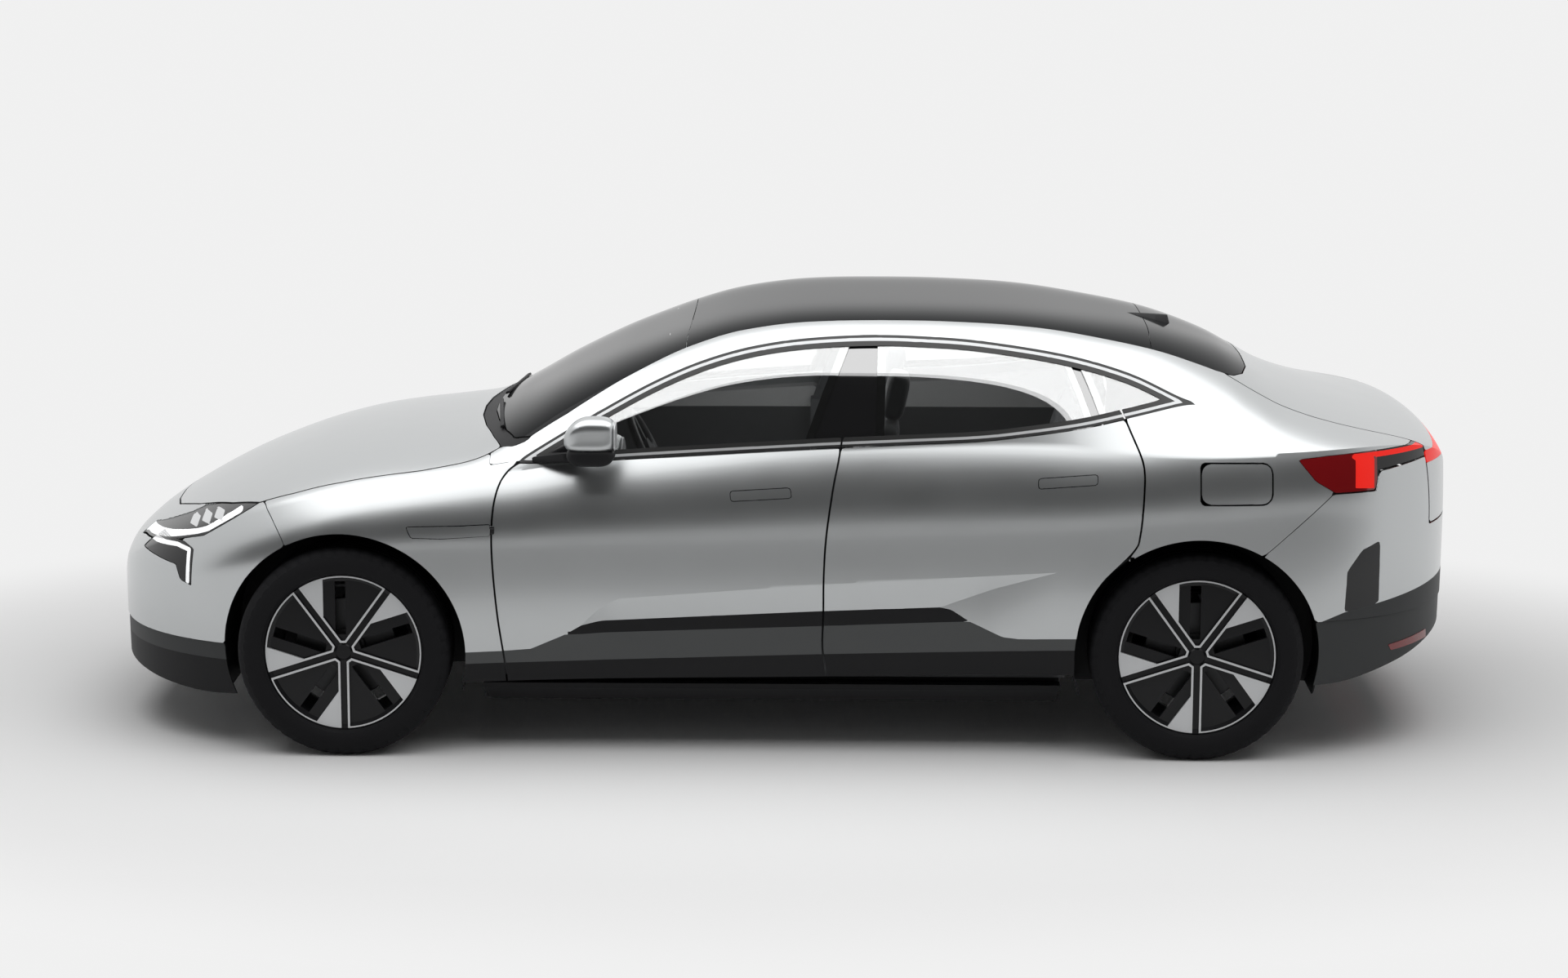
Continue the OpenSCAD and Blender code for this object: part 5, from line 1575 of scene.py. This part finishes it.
@dataclass
class Lamps:
    """Head and tail lamps."""
    wall: float = 4.0
    upper_inner: float = 300.0
    lower_inner: float = 530.0
    unlit_from: float = 2096.0
    cell_half: tuple[float, float] = (0.019, 0.012)
    cell_spots: Points = ((-2.085, 0.790), (-2.035, 0.808), (-1.985, 0.826))

    def patch(self, outline: Points, span: tuple[float, float], depth: float, *keeps: Level,
              zones: Sequence[Level] = ()) -> Mesh:
        """A patch of both sides that follows the body.

        Args:
            outline: Its outline in the side view.
            span: Where its sheet starts and ends.
            depth: How far it lies below the surface.
            keeps: Further limits.
            zones: Zones of other finishes.

        Returns:
            Both patches.
        """
        sheet = BODY.sheet(*span, SILL, CROWN, pitch=9)
        return both_sides(panel(sheet, inside(Outline(outline), 0.5), *keeps, depth=depth, wall=self.wall,
                                zones=zones))

    def cells(self, at: np.ndarray) -> np.ndarray:
        """Three lamp cells side by side in the upper lamp.

        Args:
            at: Points in metres, one a row.

        Returns:
            A level for each point, negative in a cell.
        """
        x, z, (half_x, half_z) = at[:, 0], at[:, 2], self.cell_half
        return np.min([np.maximum(np.abs(x - a) - half_x, np.abs(z - b) - half_z)
                       for a, b in self.cell_spots], axis=0)

    def build(self) -> None:
        """Places the lamps."""
        off_bonnet = outside(Lines.mirrored(Lines.bonnet), GAP)
        cells = all_of(self.cells, inside(Outline(Lines.upper_lamp), 6))
        lit = any_of(inside(Outline(Lines.brake_block)), along(Lines.brake_bar, 9))
        unlit = all_of(opposite(lit), aft(self.unlit_from))
        upper = self.patch(Lines.upper_lamp, (-2420, -1800), 2, all_of(off_bonnet, beyond(self.upper_inner)),
                           zones=(along(Lines.headlamp_bar, 8), cells))
        lower = self.patch(Lines.lower_lamp, (-2350, -2050), 2, beyond(self.lower_inner),
                           zones=(along(Lines.lower_bar, 7),))
        rear = self.patch(Lines.tail_lamp, (1790, 2424), 1, Lines.tailgate_leave(GAP), zones=(lit, unlit))
        reflectors = self.patch(Lines.reflector, (2150, 2350), 2)
        for name, mesh, finish, nodes, extra in (
                ("headlamp_faces", upper, LAMP_DARK, ("headlamps",), (LAMP_WHITE, LAMP_CHROME)),
                ("lower_lamps", lower, GLOSS_BLACK, (), (LAMP_WHITE,)),
                ("tail_lamp_lens", rear, RED_LENS, ("tail_lamps",), (RED_GLOW, GLOSS_BLACK)),
                ("reflectors", reflectors, RED_LENS, (), ())):
            Piece(name, mesh, finish, replaces=nodes, extra=extra).place()


@dataclass
class Wheel:
    """A road wheel: the tyre, the barrel and a face of five sunk fields between radial grooves."""
    axle_z: float = 374.0
    track_y: float = 842.0
    tyre_r: float = 374.0
    tyre_half: float = 127.5
    lip_r: float = 277.0
    seat_r: float = 266.0
    face: float = 101.0
    sunk: float = 11.0
    groove: float = 23.0
    border: float = 7.5
    hub: float = 34.0
    facet_x: float = -68.0
    slot: tuple[float, float, float] = (-27.0, 10.0, 62.0)
    slot_wall: float = 16.0
    disc_r: float = 180.0
    rim_half: float = 104.0
    fields: int = 5
    tread_steps: int = 150
    notch: float = 3.4

    def outline(self) -> list[Vector]:
        """One field between two grooves, its axis pointing up, from the hub round by the right.

        Returns:
            The outline's points in millimetres.
        """
        half, off = math.pi / self.fields, self.groove / 2
        out = Vector((math.sin(half), math.cos(half)))
        into = Vector((-math.cos(half), math.sin(half)))
        run_in = (self.hub - off * into.y) / out.y
        run_out = math.sqrt(self.lip_r**2 - off**2)
        low, high = out * run_in + into * off, out * run_out + into * off
        start = math.atan2(high.y, high.x)
        arc = [Vector((self.lip_r * math.cos(a), self.lip_r * math.sin(a)))
               for a in np.linspace(start, math.pi - start, 15)[1:-1]]
        return [Vector((-low.x, low.y)), low, high, *arc, Vector((-high.x, high.y))]

    def plate(self, points: Sequence[Vector], top: float) -> tuple[Mesh, Face]:
        """A flat face in the wheel's plane, facing outwards, in millimetres.

        Args:
            points: The face's corners.
            top: How far out it lies.

        Returns:
            The mesh and its face.
        """
        mesh = bmesh.new()
        face = mesh.faces.new([mesh.verts.new((p.x, p.y, top)) for p in points])
        mesh.normal_update()
        if face.normal.z < 0:
            face.normal_flip()
        return mesh, face

    def field(self) -> Mesh:
        """A bordered field: bright rim line, sunk dark floor with its slot, and the bright facet.

        Returns:
            The field, its axis pointing up.
        """
        mesh, floor = self.plate(self.outline(), self.face)
        bmesh.ops.inset_region(mesh, faces=[floor], thickness=self.border, use_even_offset=True,
                               use_boundary=True)
        walls = bmesh.ops.extrude_discrete_faces(mesh, faces=[floor])["faces"][0]
        bmesh.ops.translate(mesh, vec=(0, 0, -self.sunk), verts=walls.verts[:])
        for face in mesh.faces:
            face.material_index = int(face.calc_center_median().z < self.face - 1)
        left, right, low = self.slot
        ground = self.face - self.sunk + 0.5
        for at, across in (((left, 0, 0), (1, 0, 0)), ((right, 0, 0), (1, 0, 0)), ((0, low, 0), (0, 1, 0))):
            flat = [f for f in mesh.faces if f.calc_center_median().z < ground]
            edges = {e for f in flat for e in f.edges}
            bmesh.ops.bisect_plane(mesh, geom=[*flat, *edges], plane_co=at, plane_no=across)
        bmesh.ops.delete(mesh, context="FACES", geom=[
            f for f in mesh.faces if f.calc_center_median().z < ground
            and left < f.calc_center_median().x < right and f.calc_center_median().y > low])
        rim = [e for e in mesh.edges if e.is_boundary]
        for face in self.lowered(mesh, rim, self.slot_wall):
            face.material_index = 1
        return joined((mesh, self.facet()))

    @staticmethod
    def lowered(mesh: Mesh, edges: Sequence[bmesh.types.BMEdge], depth: float) -> list[Face]:
        """Grows walls inwards from edges.

        Args:
            mesh: The mesh.
            edges: Its edges that get walls.
            depth: How deep the walls are, in millimetres.

        Returns:
            The walls.
        """
        grown = bmesh.ops.extrude_edge_only(mesh, edges=edges)["geom"]
        bmesh.ops.translate(mesh, vec=(0, 0, -depth), verts=[v for v in grown if isinstance(v, Vert)])
        return [f for f in grown if isinstance(f, Face)]

    def facet(self) -> Mesh:
        """The bright triangle along the left edge of a field.

        Returns:
            The triangle with its walls.
        """
        points = self.outline()
        low, high = points[0], points[-1]
        share = (self.facet_x - low.x) / (high.x - low.x)
        foot = low.lerp(high, share)
        arc = [p for p in points[3:-1] if p.x < self.facet_x]
        corner = Vector((self.facet_x, math.sqrt(self.lip_r**2 - self.facet_x**2)))
        mesh, face = self.plate([foot, corner, *arc, high], self.face - 0.4)
        self.lowered(mesh, face.edges[:], self.sunk)
        return mesh

    def spun(self, profile: Points, steps: int = 96) -> Mesh:
        """A ring turned from a closed profile of [radius, outward] points.

        Args:
            profile: The points of the profile.
            steps: Steps round the ring.

        Returns:
            The closed ring.
        """
        mesh = bmesh.new()
        verts = [mesh.verts.new((r, 0, w)) for r, w in profile]
        edges = [mesh.edges.new((a, b)) for a, b in zip(verts, [*verts[1:], verts[0]])]
        bmesh.ops.spin(mesh, geom=[*verts, *edges], cent=(0, 0, 0), axis=(0, 0, 1), angle=math.tau,
                       steps=steps, use_merge=True)
        bmesh.ops.remove_doubles(mesh, verts=mesh.verts, dist=0.01)
        bmesh.ops.recalc_face_normals(mesh, faces=mesh.faces)
        return mesh

    def rim(self) -> Mesh:
        """The whole face with its grooves, hub, barrel and brake disc.

        Returns:
            The rim about its own middle.
        """
        def turned(mesh: Mesh, turn: float) -> Mesh:
            """Turns a part by a share of the angle between two fields.

            Args:
                mesh: The part.
                turn: The share.

            Returns:
                The same mesh.
            """
            matrix = Matrix.Rotation(math.tau * turn / self.fields, 3, "Z")
            bmesh.ops.rotate(mesh, matrix=matrix, verts=mesh.verts)
            return mesh
        parts = []
        for k in range(self.fields):
            strip = bmesh.new()
            bmesh.ops.create_cube(strip, size=1)
            bmesh.ops.scale(strip, vec=(self.groove + 6, self.lip_r - 4, 10), verts=strip.verts)
            bmesh.ops.translate(strip, vec=(0, self.lip_r / 2, self.face - 14), verts=strip.verts)
            parts += [turned(self.field(), k), painted(turned(strip, k + 0.5), 1)]
        lip, seat, w, disc, face = self.lip_r + 1, self.seat_r, self.rim_half, self.disc_r, self.face
        barrel = self.spun(((lip, w - 8), (lip, w - 2), (lip - 2, w), (lip - 5, w - 6), (seat - 12, w - 16),
                            (seat - 16, w - 40), (seat - 40, 10), (seat - 40, -40), (seat - 14, -90),
                            (seat - 10, -w), (seat, -w), (seat, w - 10)))
        brake = self.spun(((disc, 2), (disc, 22), (disc - 3, 24), (72, 24), (70, 46), (30, 46), (30, 0),
                           (disc - 3, 0)), 72)
        hub = self.spun(((0.5, face - 5), (26, face - 5), (30, face - 8), (40, face - 9), (44, face - 13),
                         (44, 46), (0.5, 46)), 60)
        return joined((*parts, painted(barrel, 1), painted(brake, 2), painted(hub, 1)))

    def tyre(self) -> Mesh:
        """The tyre with its grooved tread and notched shoulders.

        Returns:
            The tyre about its own middle.
        """
        r, w, seat, steps = self.tyre_r, self.tyre_half, self.lip_r, self.tread_steps
        half = [(seat + 1, 96), (seat + 3, 108), (seat + 9, 113), (seat + 12, 119), (seat + 24, w - 2.5),
                (seat + 38, w), (seat + 52, w - 0.6), (seat + 62, w - 3), (r - 24, w - 6), (r - 22, w - 9),
                (r - 12, w - 15), (r - 5, w - 24), (r - 1.5, w - 36), (r, 82), (r, 62), (r - 7, 60),
                (r - 7, 52), (r, 50), (r, 22), (r - 7, 20), (r - 7, 12), (r, 10)]
        mesh = self.spun([*half, *((a, -b) for a, b in reversed(half))], steps)
        for vert in mesh.verts:
            reach = math.hypot(vert.co.x, vert.co.y)
            turn = round(math.atan2(vert.co.y, vert.co.x) / math.tau * steps)
            if turn % 3 == 0 and r - 25 < reach < r - 0.5 and abs(vert.co.z) > 62:
                vert.co.xy *= (reach - self.notch) / reach
                vert.co.z *= 0.975
        return mesh

    def lay(self, mesh: Mesh, axle: Axle, side: Side) -> Mesh:
        """Sets a wheel part, drawn about its own middle in millimetres, in its place on the car.

        Args:
            mesh: The part.
            axle: Its axle.
            side: Its side.

        Returns:
            The same mesh.
        """
        bmesh.ops.rotate(mesh, matrix=Matrix.Rotation(math.pi / 2, 3, "X"), verts=mesh.verts)
        bmesh.ops.translate(mesh, vec=(axle.value / MM, -self.track_y, self.axle_z), verts=mesh.verts)
        bmesh.ops.scale(mesh, vec=(MM, MM, MM), verts=mesh.verts)
        return handed(mesh, side)

    def build(self) -> None:
        """Places the four wheels."""
        for axle in Axle:
            for side in Side:
                place = f"{axle.word}_{side.word}"
                Piece(f"wheel_{place}", self.lay(self.rim(), axle, side), ALLOY, f"wheel_{place}_body",
                      (f"rim_{place}",), sharp=30, extra=(WHEEL_BLACK, BARREL)).place()
                Piece(f"tread_{place}", self.lay(self.tyre(), axle, side), RUBBER, f"wheel_{place}_body",
                      (f"tyre_{place}",), sharp=28).place()


@dataclass
class Seats:
    """The padded seats: front cushions, backs and head rests, and the rear bench."""
    front_y: float = 380.0
    rear_x: float = 540.0
    rear_rise: float = 170.0
    seam: float = 9.0

    def pad(self, centre: Sequence[float], half: Sequence[float], lean: float = 0.0,
            panels: Sequence[float] = (), thin: int = 2) -> Mesh:
        """A crowned cushion with sewn channels, in millimetres.

        Args:
            centre: Its middle.
            half: Half its size along each axis.
            lean: How far it leans back, in degrees.
            panels: Where its channels run across the car, as shares of its half width.
            thin: The axis across which it is thin.

        Returns:
            The closed cushion.
        """
        mesh = rounded_block((0, 0, 0), half, 4.4, 30)
        for vert in mesh.verts:
            share = vert.co.y / (half[1] * MM)
            along_it = vert.co[2 - thin] / (half[2 - thin] * MM)
            groove = sum(math.exp(-((share - p) / 0.035)**2) for p in panels)
            welt = math.exp(-((abs(along_it) - 0.55) / 0.03)**2) if panels and abs(share) < 0.62 else 0.0
            pull = 1 - 0.05 * (1 - along_it**2) * (abs(share) > 0.8)
            drawn = min((groove + welt) * self.seam * MM, abs(vert.co[thin]) * 0.5)
            vert.co[thin] -= math.copysign(drawn, vert.co[thin])
            vert.co.y *= pull
        bmesh.ops.rotate(mesh, matrix=Matrix.Rotation(math.radians(lean), 3, "Y"), verts=mesh.verts)
        bmesh.ops.translate(mesh, vec=Vector(centre) * MM, verts=mesh.verts)
        return mesh

    def build(self) -> None:
        """Places the seats where their CAD solids are."""
        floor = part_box("front_seats")[0][2] / MM
        y, bench, rise = -self.front_y, self.rear_x, floor + self.rear_rise
        sewn, bench_sewn = (-0.62, 0.62), (-0.62, -0.2, 0.2, 0.62)
        corners = ((-1, -1), (1, -1), (1, 1), (-1, 1))
        stand = prism(*([(a * half_x, y + b * half_y, floor + z) for a, b in corners]
                        for half_x, half_y, z in ((190, 190, 1), (200, 195, 98))), 6)
        Piece("seat_stands", both_sides(stand), CABIN).place()
        soft = (
            ("front_seat_cushions", both_sides(self.pad((-20, y, floor + 164), (276, 246, 66), panels=sewn)),
             ("front_seats",)),
            ("front_seat_backs",
             both_sides(self.pad((305, y, floor + 465), (52, 250, 350), 16, sewn, thin=0)), ()),
            ("front_head_rests", both_sides(self.pad((420, y, floor + 882), (40, 128, 82), 12, thin=0)), ()),
            ("rear_seat_cushion", self.pad((bench + 230, 0, rise + 60), (226, 612, 58), panels=bench_sewn),
             ("rear_seat",)),
            ("rear_seat_back",
             self.pad((bench + 500, 0, rise + 330), (52, 618, 300), 15.6, bench_sewn, thin=0), ()),
            ("rear_head_rests", joined(self.pad((bench + 592, k, rise + 682), (38, 106, 74), 10, thin=0)
                                       for k in (-380, 0, 380)), ()))
        for name, mesh, nodes in soft:
            Piece(name, mesh, CLOTH, replaces=nodes, sharp=60).place()


@dataclass
class Studio:
    """The pale room, its soft light and the camera."""
    camera_at: tuple[float, float, float] = (0.2245, -13.43, 3.363)
    yaw: float = math.radians(-0.918)
    pitch: float = math.radians(10.86)
    roll: float = math.radians(0.12)
    focal_px: float = 4474.0
    width_px: int = 1920
    sensor: float = 36.0
    pale: tuple[float, float, float] = (0.875, 0.875, 0.875)
    lit: tuple[float, float, float] = (0.97, 0.97, 0.97)
    fill: float = 0.2
    shade_reach: tuple[float, float] = (4.6, 3.4)
    shade_core: float = 0.62
    floor_half: float = 80.0

    def camera(self) -> None:
        """Sets the camera at the photograph's angle."""
        data = bpy.data.cameras.new("camera")
        data.sensor_fit, data.sensor_width = "HORIZONTAL", self.sensor
        data.lens = self.focal_px / self.width_px * self.sensor
        flat = math.cos(self.pitch)
        forward = Vector((math.sin(self.yaw) * flat, math.cos(self.yaw) * flat, -math.sin(self.pitch)))
        right = Vector((math.cos(self.yaw), -math.sin(self.yaw), 0))
        up = right.cross(forward)
        turned = right * math.cos(self.roll) + up * math.sin(self.roll)
        camera = bpy.data.objects.new("camera", data)
        camera.matrix_world = Matrix.Translation(self.camera_at) @ Matrix(
            (turned, turned.cross(forward), -forward)).transposed().to_4x4()
        bpy.context.scene.collection.objects.link(camera)
        bpy.context.scene.camera = camera

    def floor(self) -> None:
        """Lays the pale floor: it takes the car's shadow, and is plainly pale further out."""
        mesh = bmesh.new()
        bmesh.ops.create_grid(mesh, x_segments=2, y_segments=2, size=self.floor_half)
        thing = new_object("floor", mesh)
        material = bpy.data.materials.new("pale_floor")
        material.use_nodes = True
        tree = material.node_tree
        shader = tree.nodes["Principled BSDF"]
        for socket, value in (("Base Color", (*self.lit, 1)), ("Roughness", 0.8),
                              ("Specular IOR Level", 0.1)):
            shader.inputs[socket].default_value = value
        plain = add_node(tree, "Emission", {"Color": (*self.pale, 1)})
        scale = (1 / self.shade_reach[0], 1 / self.shade_reach[1], 1)
        shrink = add_node(tree, "Mapping", {
            "Vector": add_node(tree, "TexCoord").outputs["Object"], "Scale": scale})
        reach = add_node(tree, "VectorMath", {0: shrink.outputs["Vector"]}, "LENGTH")
        fade = add_node(tree, "MapRange", {
            "From Min": self.shade_core, "From Max": 1.0, "Value": reach.outputs["Value"]})
        fade.interpolation_type = "SMOOTHSTEP"
        share = add_node(tree, "Math", {0: fade.outputs["Result"], 1: self.seen_rays(tree)}, "MULTIPLY")
        mix = add_node(tree, "MixShader", {0: share.outputs[0], 1: shader.outputs[0], 2: plain.outputs[0]})
        tree.links.new(mix.outputs[0], tree.nodes["Material Output"].inputs["Surface"])
        thing.data.materials.append(material)

    @staticmethod
    def card(name: str, size: tuple[float, float], turn: float, place: Sequence[float], shade: float) -> None:
        """Sets up a flat card that only shows in what the car mirrors.

        Args:
            name: Its name.
            size: Its width and height in metres.
            turn: How far it is tipped up from lying flat, in degrees.
            place: Its middle.
            shade: How light it is.
        """
        mesh = bmesh.new()
        bmesh.ops.create_grid(mesh, x_segments=2, y_segments=2, size=0.5)
        bmesh.ops.scale(mesh, vec=(*size, 1), verts=mesh.verts)
        bmesh.ops.rotate(mesh, matrix=Matrix.Rotation(math.radians(turn), 3, "X"), verts=mesh.verts)
        bmesh.ops.translate(mesh, vec=place, verts=mesh.verts)
        card = new_object(name, mesh)
        card.data.materials.append(Finish(name, "dark_trim", (shade, shade, shade), 0.9).material())
        card.visible_camera = card.visible_diffuse = card.visible_shadow = False

    @staticmethod
    def seen_rays(tree: bpy.types.NodeTree) -> bpy.types.NodeSocket:
        """A mask of the rays that show the background: to the camera, off gloss and through glass.

        Args:
            tree: The tree that gets the mask.

        Returns:
            The mask's socket.
        """
        rays = add_node(tree, "LightPath").outputs
        first = add_node(tree, "Math", {0: rays["Is Camera Ray"], 1: rays["Is Glossy Ray"]}, "MAXIMUM")
        last = add_node(tree, "Math", {0: rays["Is Transmission Ray"], 1: first.outputs[0]}, "MAXIMUM")
        return last.outputs[0]

    @staticmethod
    def light(name: str, at: tuple[float, float, float], aim: tuple[float, float, float],
              size: tuple[float, float], power: float) -> None:
        """Hangs a soft rectangular lamp.

        Args:
            name: Its name.
            at: Where it hangs.
            aim: Where it points.
            size: Its two sides.
            power: Its power in watts.
        """
        data = bpy.data.lights.new(name, "AREA")
        data.shape, data.size, data.size_y, data.energy = "RECTANGLE", *size, power
        lamp = bpy.data.objects.new(name, data)
        lamp.matrix_world = Matrix.Translation(at) @ (Vector(aim) - Vector(at)).to_track_quat(
            "-Z", "Y").to_matrix().to_4x4()
        bpy.context.scene.collection.objects.link(lamp)

    def world(self) -> None:
        """Sets the pale surroundings, dimmer as a light than as a background."""
        world = bpy.data.worlds.new("room")
        bpy.context.scene.world = world
        world.use_nodes = True
        tree = world.node_tree
        room = tree.nodes["Background"]
        room.inputs["Color"].default_value = (*self.pale, 1)
        strength = add_node(tree, "MapRange", {
            "To Min": self.fill, "To Max": 1.0, "Value": self.seen_rays(tree)})
        tree.links.new(strength.outputs["Result"], room.inputs["Strength"])

    def build(self) -> None:
        """Sets up the whole room."""
        self.camera()
        self.floor()
        self.world()
        self.card("dark_wall", (60, 14), -90, (0, -14.6, 7.9), 0.03)
        self.card("grey_ground", (9, 4.2), 0, (1.5, -4.5, 0.006), 0.36)
        self.light("overhead", (0, -1.0, 4.6), (0, -1.0, 0), (9, 6.8), 288)
        self.light("cabin_light", (0.25, 0, 1.42), (0.25, 0, 0), (1.3, 0.7), 10)
        bpy.context.scene.view_settings.view_transform = "Standard"


CAD_FINISHES = {
    "floor_pan": STRUCTURE, "battery_pack": BATTERY, "subframes": STRUCTURE, "rear_drive_unit": STEEL,
    "rear_knuckles": STEEL, "wheel_arch_liners": BLACK_TRIM, "door_frames": STRUCTURE, "hinge_pins": STEEL,
    "charge_port": BLACK_TRIM, "dashboard": CABIN, "sill_trims": BLACK_TRIM, "steering_wheel": CABIN,
    "knuckle_left": STEEL, "knuckle_right": STEEL}


def dress_cad() -> None:
    """Gives the CAD nodes that stay in view their finishes."""
    for name, finish in CAD_FINISHES.items():
        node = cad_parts[name]
        node.data.materials.clear()
        node.data.materials.append(finish.material())


def main() -> None:
    """Builds every sub-assembly in order."""
    logging.basicConfig(level=logging.INFO, format="%(message)s")
    Studio().build()
    dress_cad()
    for assembly in (Shell(), Lids(), Doors(), Mirrors(), Glazing(), Lamps(), Seats(), Wheel()):
        assembly.build()


if __name__ == "__main__":
    main()
